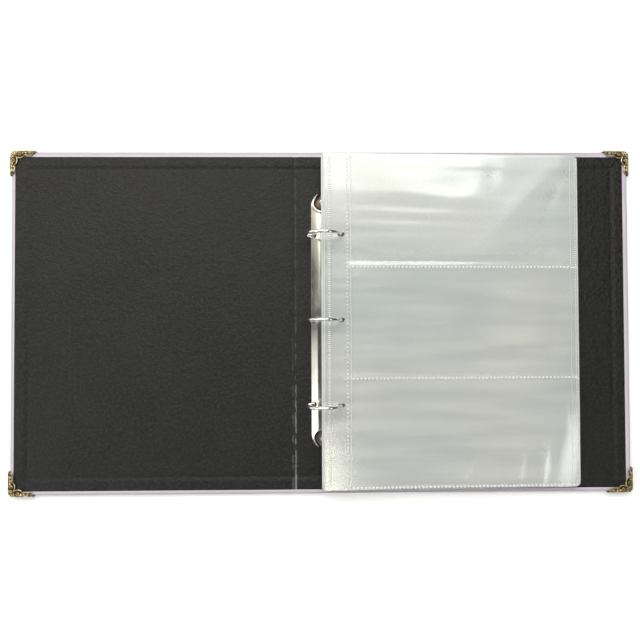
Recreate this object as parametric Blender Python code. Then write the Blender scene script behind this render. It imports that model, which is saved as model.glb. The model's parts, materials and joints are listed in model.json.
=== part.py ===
"""Ring album for coins and banknotes, lying open.

Three greyboards (front cover, spine, back cover) sit in a lilac outer skin and a black
inner lining. A three-ring mechanism is riveted to the spine and carries a stack of
clear pocket sheets, and pressed brass corners cap the four outer cover corners.

Frame: origin on the table under the middle of the spine, front cover towards -X, back
cover towards +X, head of the album towards +Y, +Z up. Lengths are in metres.
"""
import math

import bmesh
import bpy
from mathutils import Vector

MM = 0.001
GAP = 0.3 * MM                    # play between touching pieces

# --- covers ---------------------------------------------------------------------
COVER_REACH = 260.0 * MM          # spine centre to a cover's fore edge
COVER_HALF_HEIGHT = 143.5 * MM
SKIN = 0.5 * MM                   # outer skin and lining are the same gauge
BOARD = 2.5 * MM
TURN_IN = 13.0 * MM               # width of skin folded over onto the inside
CORNER_RADIUS = 3.8 * MM
CREASE_X = 22.3 * MM              # fold lines, left and right of the spine's centre
BOARD_TO_CREASE = 4.6 * MM        # half the width of the joint groove
GROOVE_FLOOR = 2.6 * MM           # half the width of the groove's flat bottom
CREASE_HALF_GAP = 0.8 * MM        # rigid skin and lining stop short of the fold line
LINING_FRONT_MARGIN = 3.4 * MM    # the lining is laid by hand, a little off centre
LINING_BACK_MARGIN = 4.6 * MM
LINING_HEAD_MARGIN = 4.3 * MM
LINING_FOOT_MARGIN = 3.6 * MM

# --- brass corners ----------------------------------------------------------------
BRASS = 0.5 * MM
BRASS_LEG = 21.0 * MM

# --- levels of the cover's layers ---------------------------------------------------
SKIN_Z = BRASS + GAP              # underside of the outer skin
BOARD_Z = SKIN_Z + SKIN + GAP
TURN_Z = BOARD_Z + BOARD + GAP    # turned-in skin, and the lining inside it
EDGE_LINING_Z = TURN_Z + SKIN + GAP
LINING_TOP = TURN_Z + SKIN
COVER_TOP = EDGE_LINING_Z + SKIN
CREASE_Z = SKIN_Z + SKIN + GAP / 2

# --- ring mechanism -----------------------------------------------------------------
MECH_X = 1.0 * MM
MECH_Y = 1.5 * MM
HOUSING_LENGTH = 210.8 * MM
HOUSING_HALF_WIDTH = 10.5 * MM
HOUSING_CROWN = 6.3 * MM
HOUSING_SHEET = 0.8 * MM
HOUSING_Z = LINING_TOP + GAP
HOUSING_TAPER = 11.5 * MM         # length over which each end narrows
HOUSING_NOSE = 14.0 * MM          # length over which the taper would close to a point
SCOOP_RADIUS = 8.6 * MM           # the hollow round each rivet
SCOOP_WALL = 1.9 * MM             # plan width of the hollow's steep side
SCOOP_LIP = 1.2 * MM              # rim left between the hollow and the housing's edge
RIVET_SPACING = 198.0 * MM
RIVET_RADIUS = 1.6 * MM
RIVET_HOLE_RADIUS = 1.9 * MM
RING_PITCH = 70.0 * MM
RING_RADIUS = 14.1 * MM           # to the middle of the wire
WIRE_RADIUS = 1.4 * MM
RING_Z = HOUSING_Z + 15.6 * MM    # centre of the rings
RING_FOOT_ANGLE = -52.0           # where the wire leaves the circle for the rail
RING_LAP = 1.2 * MM               # overlap of the two ring tips
RING_FOOT_X = 7.6 * MM            # middle of the wire's straight foot, from the mechanism's middle
RING_FOOT_TOP = 1.9 * MM          # height of the foot's bend over the pivot
RING_FOOT_END = 0.75 * MM         # height of the foot's end over the pivot
PIVOT_X = 9.2 * MM                # line in the housing's side about which a rail rocks
PIVOT_Z = HOUSING_Z + 1.8 * MM
RAIL_EDGE = 1.2 * MM              # outer edge of a rail, inwards of its pivot
RAIL_WIDTH = 7.6 * MM
RAIL_LENGTH = 176.0 * MM
RAIL_THICKNESS = 1.0 * MM
RAIL_TILT = math.radians(5.0)     # both rails dip to the middle while the rings are shut

# --- pocket sheets ------------------------------------------------------------------
SHEET_COUNT = 10
SHEET_WIDTH = 212.4 * MM
SHEET_HEIGHT = 275.7 * MM
SHEET_Y = 0.5 * MM                # the sheets' middle; they are punched a little off it
SHEET_THICKNESS = 0.32 * MM
SHEET_PITCH = 0.62 * MM
SHEET_BIND_Z = HOUSING_Z + HOUSING_CROWN + 0.8 * MM   # lowest sheet, over the housing
SHEET_REST_Z = COVER_TOP + 0.4 * MM                   # lowest sheet, on the back cover
SHEET_HOLE_RADIUS = 3.5 * MM
LEAF_HOLE_INSET = 0.7 * MM        # the top sheet hangs this far in on its rings
SWING_OFFSET = 0.65 * MM          # hinge of the stack, outwards of and above the rings' centre
SHEET_HOLE_TO_EDGE = 13.0 * MM
SHEET_FLAT = 6.0 * MM             # level stretch past the holes
SHEET_FALL = 70.0 * MM            # holes to where a sheet reaches the cover
LEAF_RISE = 0.86 * MM             # the top sheet floats a little above the rest
LEAF_SLOPE = math.tan(math.radians(1.75))


def clear_scene():
    for item in list(bpy.data.objects):
        bpy.data.objects.remove(item, do_unlink=True)


def make_material(name, colour, roughness, metallic=0.0, alpha=1.0):
    material = bpy.data.materials.new(name)
    material.use_nodes = True
    material.diffuse_color = (*colour, alpha)
    shader = material.node_tree.nodes["Principled BSDF"]
    shader.inputs["Base Color"].default_value = (*colour, 1.0)
    shader.inputs["Roughness"].default_value = roughness
    shader.inputs["Metallic"].default_value = metallic
    shader.inputs["Alpha"].default_value = alpha
    return material


def add_object(name, mesh, material=None, parent=None):
    """Link a mesh made in world coordinates, with its origin at its parent."""
    thing = bpy.data.objects.new(name, mesh)
    bpy.context.collection.objects.link(thing)
    if material is not None:
        mesh.materials.clear()
        mesh.materials.append(material)
    if parent is not None:
        for vertex in mesh.vertices:
            vertex.co -= Vector(parent["joint_point"])
        thing.parent = parent
    return thing


def add_axis(name, point, parent=None):
    """An empty on a joint's axis; its pieces hang on it."""
    axis = bpy.data.objects.new(name, None)
    axis.empty_display_type = "SINGLE_ARROW"
    axis.empty_display_size = 0.03
    bpy.context.collection.objects.link(axis)
    offset = parent["joint_point"] if parent else (0.0, 0.0, 0.0)
    axis.parent = parent
    axis.location = [a - b for a, b in zip(point, offset)]
    axis["joint_point"] = point
    return axis


def mesh_from(bm, name):
    bm.normal_update()
    bmesh.ops.recalc_face_normals(bm, faces=bm.faces)
    mesh = bpy.data.meshes.new(name)
    bm.to_mesh(mesh)
    bm.free()
    return mesh


def rounded_outline(left, right, bottom, top, radii, steps=5):
    """Rectangle, anticlockwise from its lower left; radii for LL, LR, UR and UL."""
    corners = [(left, bottom, 180), (right, bottom, 270), (right, top, 0), (left, top, 90)]
    points = []
    for (x, y, start), radius in zip(corners, radii):
        if radius == 0:
            points.append((x, y))
            continue
        centre_x = x + radius if x == left else x - radius
        centre_y = y + radius if y == bottom else y - radius
        for step in range(steps + 1):
            angle = math.radians(start + 90 * step / steps)
            points.append((centre_x + radius * math.cos(angle), centre_y + radius * math.sin(angle)))
    return points


def prism(name, outline, low, high):
    """Closed solid: a plan outline extruded from one level to another."""
    bm = bmesh.new()
    base = bm.faces.new([bm.verts.new((x, y, low)) for x, y in outline])
    side = bmesh.ops.extrude_face_region(bm, geom=[base])
    raised = [item for item in side["geom"] if isinstance(item, bmesh.types.BMVert)]
    bmesh.ops.translate(bm, verts=raised, vec=(0, 0, high - low))
    return mesh_from(bm, name)


def sheet_solid(name, xs, ys, underside, thickness):
    """Closed solid of even thickness over a grid; underside(x, y) gives its height."""
    bm = bmesh.new()
    layers = []
    for lift in (0.0, thickness):
        layers.append([[bm.verts.new((x, y, underside(x, y) + lift)) for y in ys] for x in xs])
    low, high = layers
    for i in range(len(xs) - 1):
        for j in range(len(ys) - 1):
            cell = [(i, j), (i + 1, j), (i + 1, j + 1), (i, j + 1)]
            bm.faces.new([high[a][b] for a, b in cell])
            bm.faces.new([low[a][b] for a, b in reversed(cell)])
    rim = [(i, 0) for i in range(len(xs))]
    rim += [(len(xs) - 1, j) for j in range(1, len(ys))]
    rim += [(i, len(ys) - 1) for i in range(len(xs) - 2, -1, -1)]
    rim += [(0, j) for j in range(len(ys) - 2, 0, -1)]
    for (a, b), (c, d) in zip(rim, rim[1:] + rim[:1]):
        bm.faces.new([low[a][b], low[c][d], high[c][d], high[a][b]])
    return mesh_from(bm, name)


def add_boxes(name, boxes):
    """One guide mesh holding a closed box for each (low corner, high corner)."""
    bm = bmesh.new()
    for low, high in boxes:
        made = bmesh.ops.create_cube(bm, size=1.0)
        for vertex in made["verts"]:
            vertex.co = [a + (b - a) * (c + 0.5) for a, b, c in zip(low, high, vertex.co)]
    return add_guide(name, mesh_from(bm, name))


def add_drills(name, places, radius, low, high, sides):
    """One guide mesh holding an upright closed cylinder at each (x, y)."""
    bm = bmesh.new()
    for x, y in places:
        made = bmesh.ops.create_cone(bm, cap_ends=True, segments=sides, radius1=radius,
                                     radius2=radius, depth=high - low)
        bmesh.ops.translate(bm, verts=made["verts"], vec=(x, y, (low + high) / 2))
    return add_guide(name, mesh_from(bm, name))


def add_guide(name, mesh):
    guide = add_object(name, mesh)
    guide.hide_render = True
    guide.display_type = "WIRE"
    return guide


def cut(thing, guide):
    modifier = thing.modifiers.new(guide.name, "BOOLEAN")
    modifier.operation = "DIFFERENCE"
    modifier.solver = "EXACT"
    modifier.object = guide


def smooth_step(value):
    value = min(max(value, 0.0), 1.0)
    return value * value * (3 - 2 * value)


def blend(value, start, end):
    """0 before start, 1 after end, straight in between."""
    return min(max((value - start) / (end - start), 0.0), 1.0)


# --- covers -------------------------------------------------------------------------

def add_cover_skin(name, side, material, parent):
    """Skin of one cover: outer face, wrapped edges and turn-in, flat in the groove."""
    inner = CREASE_X + CREASE_HALF_GAP
    board_edge = CREASE_X + BOARD_TO_CREASE - GAP
    half = COVER_HALF_HEIGHT
    past = inner - 2 * MM
    near, far = sorted((side * inner, side * COVER_REACH))
    fore = [0, CORNER_RADIUS, CORNER_RADIUS, 0] if side > 0 else [CORNER_RADIUS, 0, 0, CORNER_RADIUS]
    block = prism(name, rounded_outline(near, far, -half, half, fore), SKIN_Z, TURN_Z + SKIN)
    skin = add_object(name, block, material, parent)
    near, far = sorted((side * past, side * (COVER_REACH - SKIN)))
    inside = [radius - SKIN if radius else 0 for radius in fore]
    hollow = prism("hollow", rounded_outline(near, far, SKIN - half, half - SKIN, inside),
                   SKIN_Z + SKIN, TURN_Z)
    cut(skin, add_guide(name + "_hollow", hollow))
    near, far = sorted((side * past, side * (COVER_REACH - TURN_IN)))
    window = ((near, TURN_IN - half, BOARD_Z + BOARD / 2), (far, half - TURN_IN, COVER_TOP))
    cut(skin, add_boxes(name + "_window", [window]))
    near, far = sorted((side * past, side * board_edge))
    groove = ((near, -half - MM, SKIN_Z + SKIN), (far, half + MM, COVER_TOP))
    cut(skin, add_boxes(name + "_groove", [groove]))
    return skin


def add_board(name, near, far, radii, material, parent):
    half = COVER_HALF_HEIGHT - SKIN - GAP
    outline = rounded_outline(near, far, -half, half, radii)
    return add_object(name, prism(name, outline, BOARD_Z, BOARD_Z + BOARD), material, parent)


def lining_height(x, y):
    """Underside of the lining: over the turn-ins, on the boards, down in the grooves."""
    inward = min(COVER_REACH - abs(x), COVER_HALF_HEIGHT - abs(y))
    on_turn_in = 1 - blend(inward, TURN_IN + GAP, TURN_IN + GAP + MM)
    height = TURN_Z + (EDGE_LINING_Z - TURN_Z) * on_turn_in
    groove_floor = SKIN_Z + SKIN + GAP
    from_crease = abs(abs(x) - CREASE_X)
    in_groove = 1 - blend(from_crease, GROOVE_FLOOR, BOARD_TO_CREASE - GAP)
    return height + (groove_floor - height) * in_groove


def lining_rows():
    head = COVER_HALF_HEIGHT - LINING_HEAD_MARGIN
    foot = LINING_FOOT_MARGIN - COVER_HALF_HEIGHT
    step = COVER_HALF_HEIGHT - TURN_IN - GAP
    return [foot, -step, MM - step, step - MM, step, head]


def add_cover_lining(name, side, margin, material, parent):
    step = COVER_REACH - TURN_IN - GAP
    columns = [COVER_REACH - margin, step, step - MM, CREASE_X + BOARD_TO_CREASE - GAP,
               CREASE_X + GROOVE_FLOOR, CREASE_X + CREASE_HALF_GAP]
    mesh = sheet_solid(name, sorted(side * x for x in columns), lining_rows(), lining_height, SKIN)
    return add_object(name, mesh, material, parent)


def add_spine(skin_material, board_material, lining_material, drills, parent):
    half = COVER_HALF_HEIGHT
    reach = CREASE_X - CREASE_HALF_GAP
    board_reach = CREASE_X - BOARD_TO_CREASE
    block = prism("spine_skin", rounded_outline(-reach, reach, -half, half, [0] * 4),
                  SKIN_Z, TURN_Z + SKIN)
    skin = add_object("spine_skin", block, skin_material, parent)
    far = reach + MM
    edge = board_reach + GAP
    cuts = [((-far, SKIN - half, SKIN_Z + SKIN), (far, half - SKIN, TURN_Z)),
            ((-far, TURN_IN - half, BOARD_Z + BOARD / 2), (far, half - TURN_IN, COVER_TOP)),
            ((-far, -half - MM, SKIN_Z + SKIN), (-edge, half + MM, COVER_TOP + MM)),
            ((edge, -half - MM, SKIN_Z + SKIN), (far, half + MM, COVER_TOP + MM))]
    for number, box in enumerate(cuts):
        cut(skin, add_boxes(f"spine_skin_cut_{number}", [box]))
    cut(skin, drills)
    board = add_board("spine_board", -board_reach, board_reach, [0] * 4, board_material, parent)
    cut(board, drills)
    columns = [CREASE_X - CREASE_HALF_GAP, CREASE_X - GROOVE_FLOOR, board_reach + GAP]
    columns = [-x for x in columns] + columns[::-1]
    mesh = sheet_solid("spine_lining", columns, lining_rows(), lining_height, SKIN)
    lining = add_object("spine_lining", mesh, lining_material, parent)
    cut(lining, drills)


def add_crease(name, side, material, parent):
    """The flexible strip of bonded skin and lining that a cover folds along."""
    half_width = CREASE_HALF_GAP - GAP
    middle = side * CREASE_X
    rows = lining_rows()
    outline = rounded_outline(middle - half_width, middle + half_width, rows[0], rows[-1], [0] * 4)
    mesh = prism(name, outline, SKIN_Z, SKIN_Z + 2 * SKIN + GAP)
    return add_object(name, mesh, material, parent)


# --- brass corners --------------------------------------------------------------------

def leg_width(along):
    """Width of a corner's leg, with two scallops, at a distance from the corner."""
    scallops = [(8.4 * MM, 4.2 * MM, 3.4 * MM, 3.2 * MM), (16.0 * MM, 4.6 * MM, 2.4 * MM, 2.1 * MM)]
    width = 0.0
    for middle, reach, base, swell in scallops:
        inside = 1 - ((along - middle) / reach) ** 2
        if inside >= 0:
            width = max(width, base + swell * math.sqrt(inside))
    return width


def corner_outline():
    """Plan of a corner piece whose outer corner is the origin, legs along -X and -Y."""
    stations = [6.3, 7.3, 8.4, 9.5, 10.6, 11.6, 12.4, 13.0, 14.0, 15.0, 16.0, 17.0, 18.2, 19.2, 20.2]
    inner = [(-leg_width(s * MM), -s * MM) for s in stations]
    tip = [(-1.6 * MM, -BRASS_LEG), (0.0, -BRASS_LEG)]
    radius = CORNER_RADIUS + BRASS + GAP
    bend = []
    for step in range(7):
        angle = math.radians(90 * step / 6)
        bend.append((radius * (math.cos(angle) - 1), radius * (math.sin(angle) - 1)))
    half = inner + tip
    mirrored = [(y, x) for x, y in half]
    return half + bend + mirrored[::-1]


def add_corner(name, side_x, side_y, material, parent):
    outline = [(side_x * (COVER_REACH + BRASS + GAP + x), side_y * (COVER_HALF_HEIGHT + BRASS + GAP + y))
               for x, y in corner_outline()]
    corner = add_object(name, prism(name, outline, 0.0, COVER_TOP + GAP + BRASS), material, parent)
    reach = COVER_REACH + GAP
    half = COVER_HALF_HEIGHT + GAP
    radius = CORNER_RADIUS + GAP
    room = [(reach - 40 * MM, half - 40 * MM), (reach, half - 40 * MM)]
    for step in range(7):
        angle = math.radians(90 * step / 6)
        room.append((reach + radius * (math.cos(angle) - 1), half + radius * (math.sin(angle) - 1)))
    room.append((reach - 40 * MM, half))
    room = [(side_x * x, side_y * y) for x, y in room]
    cut(corner, add_guide(name + "_room", prism(name, room, BRASS, COVER_TOP + GAP)))
    return corner


# --- ring mechanism ---------------------------------------------------------------------

def housing_stations():
    """Distances from the middle of the housing to its cross-sections, on one side."""
    end = HOUSING_LENGTH / 2
    scoop = RIVET_SPACING / 2 - SCOOP_RADIUS
    plain = [0.0, RING_PITCH / 2, RING_PITCH - 4 * MM, RING_PITCH + 4 * MM, scoop - 2 * MM]
    steps = 12
    return plain + [scoop + (end - scoop) * step / steps for step in range(steps + 1)]


def housing_half_width(along):
    past = max(along - (HOUSING_LENGTH / 2 - HOUSING_TAPER), 0.0)
    return HOUSING_HALF_WIDTH * math.sqrt(1 - (past / HOUSING_NOSE) ** 2)


def housing_point(turn, along, inside):
    """A point of the arch's outer or inner face; turn runs from -90 to 90 degrees."""
    width = housing_half_width(along)
    x = width * math.sin(turn)
    before_rivet = min(along - RIVET_SPACING / 2, 0.0)
    from_rivet = math.hypot(x, before_rivet)
    floor = min(SCOOP_RADIUS, width - SCOOP_LIP) - SCOOP_WALL
    scoop = smooth_step((from_rivet - floor) / SCOOP_WALL)
    tab = HOUSING_SHEET * min(1.0, 8 * math.cos(turn))
    rise = max(HOUSING_CROWN * math.cos(turn) * scoop, tab)
    if inside:
        x = (width - HOUSING_SHEET) * math.sin(turn)
        rise = max(rise - HOUSING_SHEET, 0.0)
    return x, rise


def housing_mesh():
    """Arched pressed-steel shell with a scooped, flattened tab at each end."""
    stations = housing_stations()
    places = [-s for s in reversed(stations[1:])] + stations
    turns = [math.radians(-90 + 180 * step / 18) for step in range(19)]
    bm = bmesh.new()
    rows = []
    for place in places:
        loop = []
        for turn in turns:
            x, rise = housing_point(turn, abs(place), False)
            loop.append(bm.verts.new((MECH_X + x, MECH_Y + place, HOUSING_Z + rise)))
        for turn in reversed(turns):
            x, rise = housing_point(turn, abs(place), True)
            loop.append(bm.verts.new((MECH_X + x, MECH_Y + place, HOUSING_Z + rise)))
        rows.append(loop)
    count = len(rows[0])
    for near, far in zip(rows, rows[1:]):
        for i in range(count):
            j = (i + 1) % count
            bm.faces.new([near[i], near[j], far[j], far[i]])
    half = len(turns)
    for loop in (rows[0], rows[-1]):
        for i in range(half - 1):
            bm.faces.new([loop[i], loop[i + 1], loop[count - 2 - i], loop[count - 1 - i]])
    return mesh_from(bm, "ring_housing")


def ring_rows():
    return [MECH_Y + k * RING_PITCH for k in (-1, 0, 1)]


def add_housing(material, drills, parent):
    housing = add_object("ring_housing", housing_mesh(), material, parent)
    slots = []
    for y in ring_rows():
        for side in (-1, 1):
            near, far = sorted((side * 5.6 * MM, side * 10.2 * MM))
            slots.append(((MECH_X + near, y - 1.9 * MM, PIVOT_Z), (MECH_X + far, y + 1.9 * MM, RING_Z)))
    cut(housing, add_boxes("ring_slots", slots))
    cut(housing, drills)
    return housing


def rivet_places():
    return [(MECH_X, MECH_Y + side * RIVET_SPACING / 2) for side in (1, -1)]


def add_rivets(material, parent):
    """Tubular rivets: a head under the spine, a domed head on the housing's tab."""
    top = HOUSING_Z + HOUSING_SHEET + GAP
    profile = [(0.0, 0.0), (3.4 * MM, 0.0), (3.9 * MM, 0.25 * MM), (3.9 * MM, BRASS),
               (RIVET_RADIUS, BRASS), (RIVET_RADIUS, top), (2.7 * MM, top),
               (2.5 * MM, top + 0.6 * MM), (1.7 * MM, top + 1.0 * MM), (0.0, top + 1.15 * MM)]
    sides = 20
    for name, (x, y) in zip(("rivet_head_end", "rivet_foot_end"), rivet_places()):
        bm = bmesh.new()
        rings = []
        for radius, z in profile:
            if radius == 0:
                rings.append([bm.verts.new((x, y, z))])
                continue
            angles = [math.tau * step / sides for step in range(sides)]
            rings.append([bm.verts.new((x + radius * math.cos(a), y + radius * math.sin(a), z))
                          for a in angles])
        for low, high in zip(rings, rings[1:]):
            for i in range(sides):
                j = (i + 1) % sides
                face = [low[i % len(low)], low[j % len(low)], high[j % len(high)], high[i % len(high)]]
                bm.faces.new(list(dict.fromkeys(face)))
        rivet = add_object(name, mesh_from(bm, name), material, parent)
        rivet.data.shade_smooth()
        rivet.data.set_sharp_from_angle(angle=math.radians(35))


def right_ring_path():
    """Middle of the wire of a right half ring, from its tip to its foot on the rail."""
    tip_angle = 90 + math.degrees(math.asin(RING_LAP / RING_RADIUS))
    steps = 22
    path = []
    for step in range(steps + 1):
        angle = math.radians(tip_angle + (RING_FOOT_ANGLE - tip_angle) * step / steps)
        path.append((RING_RADIUS * math.cos(angle), RING_RADIUS * math.sin(angle)))
    path.append((RING_FOOT_X + 0.25 * MM, PIVOT_Z - RING_Z + RING_FOOT_TOP))
    path.append((RING_FOOT_X, PIVOT_Z - RING_Z + RING_FOOT_END))
    return path


def ring_mesh():
    """Right half ring about its rail's pivot, with a half-lap cut in its tip."""
    path = right_ring_path()
    sides = 12
    bm = bmesh.new()
    hoops = []
    for i, (x, z) in enumerate(path):
        ahead = path[min(i + 1, len(path) - 1)]
        behind = path[max(i - 1, 0)]
        run_x, run_z = ahead[0] - behind[0], ahead[1] - behind[1]
        length = math.hypot(run_x, run_z)
        across = (run_z / length, -run_x / length)
        if i == len(path) - 1:
            across = (-1.0, 0.0)
        hoop = []
        for step in range(sides):
            angle = math.tau * (step + 0.5) / sides
            out = WIRE_RADIUS * math.cos(angle)
            place = (x + across[0] * out - PIVOT_X, WIRE_RADIUS * math.sin(angle),
                     z + across[1] * out + RING_Z - PIVOT_Z)
            hoop.append(bm.verts.new(place))
        hoops.append(hoop)
    for near, far in zip(hoops, hoops[1:]):
        for i in range(sides):
            j = (i + 1) % sides
            bm.faces.new([near[i], near[j], far[j], far[i]])
    bm.faces.new(hoops[0])
    bm.faces.new(hoops[-1])
    mesh = mesh_from(bm, "half_ring")
    blank = add_object("half_ring_blank", mesh)
    top = RING_Z - PIVOT_Z + RING_RADIUS
    lap = RING_LAP + GAP / 2
    low = (-PIVOT_X - 4 * MM, -GAP / 2, top - 3 * MM)
    high = (lap - PIVOT_X, 3 * MM, top + 3 * MM)
    cut(blank, add_boxes("ring_lap", [(low, high)]))
    state = bpy.context.evaluated_depsgraph_get()
    finished = bpy.data.meshes.new_from_object(blank.evaluated_get(state))
    finished.name = "half_ring"
    bpy.data.objects.remove(blank, do_unlink=True)
    finished.shade_smooth()
    finished.set_sharp_from_angle(angle=math.radians(40))
    return finished


def add_rings(material, parents):
    mesh = ring_mesh()
    mesh.materials.clear()
    mesh.materials.append(material)
    for number, y in enumerate(reversed(ring_rows()), start=1):
        for name, turn in (("right", 0.0), ("left", math.pi)):
            ring = bpy.data.objects.new(f"{name}_half_ring_{number}", mesh)
            bpy.context.collection.objects.link(ring)
            ring.parent = parents[name]
            ring.location = (0.0, y - MECH_Y, 0.0)
            ring.rotation_euler = (0.0, 0.0, turn)


def add_rails(material, parents):
    """The two rocking rails inside the housing that carry the half rings."""
    for name, side in (("right", 1), ("left", -1)):
        bm = bmesh.new()
        bmesh.ops.create_cube(bm, size=1.0)
        for vertex in bm.verts:
            x = (vertex.co.x - 0.5) * RAIL_WIDTH - RAIL_EDGE
            z = vertex.co.z * RAIL_THICKNESS
            tilted_x = x * math.cos(RAIL_TILT) - z * math.sin(RAIL_TILT)
            tilted_z = x * math.sin(RAIL_TILT) + z * math.cos(RAIL_TILT)
            vertex.co = (MECH_X + side * (PIVOT_X + tilted_x),
                         MECH_Y + vertex.co.y * RAIL_LENGTH, PIVOT_Z + tilted_z)
        add_object(name + "_rail", mesh_from(bm, name + "_rail"), material, parents[name])


# --- pocket sheets ------------------------------------------------------------------------

def wire_x(height):
    """Middle of the right half rings' wire at a height."""
    return MECH_X + math.sqrt(RING_RADIUS ** 2 - (RING_Z - height) ** 2)


def add_sheet(number, material, parent):
    """One pocket sheet; the last one is the top leaf, which lies straight."""
    top_leaf = number == SHEET_COUNT
    bind_z = SHEET_BIND_Z + (number - 1) * SHEET_PITCH
    rest_z = SHEET_REST_Z + (number - 1) * SHEET_PITCH
    if top_leaf:
        bind_z += LEAF_RISE - SHEET_PITCH / 2
    holes = wire_x(bind_z + SHEET_THICKNESS / 2)
    if top_leaf:
        holes -= LEAF_HOLE_INSET
    left = holes - SHEET_HOLE_TO_EDGE
    right = left + SHEET_WIDTH

    def underside(x, y):
        if top_leaf:
            return bind_z - LEAF_SLOPE * (x - holes)
        fall = smooth_step((x - holes - SHEET_FLAT) / (SHEET_FALL - SHEET_FLAT))
        return bind_z + (rest_z - bind_z) * fall

    columns = [left, right]
    if not top_leaf:
        bends = [SHEET_FLAT + (SHEET_FALL - SHEET_FLAT) * share for share in (0, 0.18, 0.4, 0.6, 0.82, 1)]
        columns = [left] + [holes + bend for bend in bends] + [right]
    half = SHEET_HEIGHT / 2
    name = f"pocket_sheet_{number:02d}"
    mesh = sheet_solid(name, columns, [SHEET_Y - half, SHEET_Y + half], underside, SHEET_THICKNESS)
    sheet = add_object(name, mesh, material, parent)
    punch = add_drills(name + "_punch", [(holes, y) for y in ring_rows()], SHEET_HOLE_RADIUS,
                       SHEET_REST_Z, RING_Z, 16)
    cut(sheet, punch)


def build():
    clear_scene()
    lilac = make_material("lilac_leatherette", (0.70, 0.64, 0.71), 0.5)
    black = make_material("black_leatherette", (0.035, 0.035, 0.033), 0.6)
    greyboard = make_material("greyboard", (0.36, 0.33, 0.28), 0.9)
    brass = make_material("antique_brass", (0.36, 0.27, 0.12), 0.4, 1.0)
    nickel = make_material("nickel_plate", (0.78, 0.77, 0.72), 0.16, 1.0)
    film = make_material("clear_film", (0.86, 0.88, 0.86), 0.15, 0.0, 0.45)

    spine_axis = add_axis("spine_fold_axis", (CREASE_X, 0.0, CREASE_Z))
    front_axis = add_axis("front_fold_axis", (-CREASE_X, 0.0, CREASE_Z), spine_axis)
    ring_axes = {name: add_axis(name + "_ring_axis", (MECH_X + side * PIVOT_X, MECH_Y, PIVOT_Z), spine_axis)
                 for name, side in (("right", 1), ("left", -1))}
    swing_point = (MECH_X + SWING_OFFSET, MECH_Y, RING_Z + SWING_OFFSET)
    stack_axis = add_axis("sheet_stack_axis", swing_point, spine_axis)
    leaf_axis = add_axis("top_leaf_axis", (MECH_X, MECH_Y, RING_Z), stack_axis)

    board_edge = CREASE_X + BOARD_TO_CREASE
    fore_edge = COVER_REACH - SKIN - GAP
    bend = CORNER_RADIUS - SKIN - GAP
    add_cover_skin("back_cover_skin", 1, lilac, None)
    add_board("back_cover_board", board_edge, fore_edge, [0, bend, bend, 0], greyboard, None)
    add_cover_lining("back_cover_lining", 1, LINING_BACK_MARGIN, black, None)
    add_cover_skin("front_cover_skin", -1, lilac, front_axis)
    add_board("front_cover_board", -fore_edge, -board_edge, [bend, 0, 0, bend], greyboard, front_axis)
    add_cover_lining("front_cover_lining", -1, LINING_FRONT_MARGIN, black, front_axis)
    for cover, side_x, axis in (("back", 1, None), ("front", -1, front_axis)):
        for end, side_y in (("head", 1), ("foot", -1)):
            add_corner(f"{cover}_{end}_corner", side_x, side_y, brass, axis)

    drills = add_drills("rivet_holes", rivet_places(), RIVET_HOLE_RADIUS, -MM, RING_Z, 20)
    add_spine(lilac, greyboard, black, drills, spine_axis)
    add_crease("back_crease", 1, black, spine_axis)
    add_crease("front_crease", -1, black, spine_axis)
    add_housing(nickel, drills, spine_axis)
    add_rivets(nickel, spine_axis)
    add_rails(nickel, ring_axes)
    add_rings(nickel, ring_axes)
    for number in range(1, SHEET_COUNT):
        add_sheet(number, film, stack_axis)
    add_sheet(SHEET_COUNT, film, leaf_axis)


build()
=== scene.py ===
"""The looks of an open ring album: leatherette case, brass corners, nickel rings, clear pocket sheets.

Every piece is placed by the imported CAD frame. Lengths are in metres, and +Z is up out of the
open pages. The front cover is on the -X side, and the head of the album is towards +Y.
"""
import json
import math

import bmesh
import bpy
import numpy as np
from mathutils import Matrix, Vector


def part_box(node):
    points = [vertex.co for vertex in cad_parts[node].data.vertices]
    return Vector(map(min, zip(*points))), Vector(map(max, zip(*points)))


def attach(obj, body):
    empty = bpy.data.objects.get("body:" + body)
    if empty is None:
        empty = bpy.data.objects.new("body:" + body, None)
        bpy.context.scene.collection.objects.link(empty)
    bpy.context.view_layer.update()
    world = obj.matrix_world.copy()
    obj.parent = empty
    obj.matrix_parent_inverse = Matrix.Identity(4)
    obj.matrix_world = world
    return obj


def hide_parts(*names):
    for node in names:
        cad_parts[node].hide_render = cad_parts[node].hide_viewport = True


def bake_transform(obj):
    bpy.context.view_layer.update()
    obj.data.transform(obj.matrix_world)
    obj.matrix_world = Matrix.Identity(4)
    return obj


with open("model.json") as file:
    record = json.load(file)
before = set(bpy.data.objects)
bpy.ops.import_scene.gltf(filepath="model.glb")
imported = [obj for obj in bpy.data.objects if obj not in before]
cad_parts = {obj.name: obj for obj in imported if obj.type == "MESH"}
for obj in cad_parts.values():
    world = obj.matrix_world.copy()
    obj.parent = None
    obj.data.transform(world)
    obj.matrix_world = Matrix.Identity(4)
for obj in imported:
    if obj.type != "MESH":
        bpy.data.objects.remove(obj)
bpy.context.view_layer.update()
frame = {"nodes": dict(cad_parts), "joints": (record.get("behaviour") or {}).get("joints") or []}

MM = 0.001
JOINTS = {joint["name"]: joint for joint in frame["joints"]}

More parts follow.
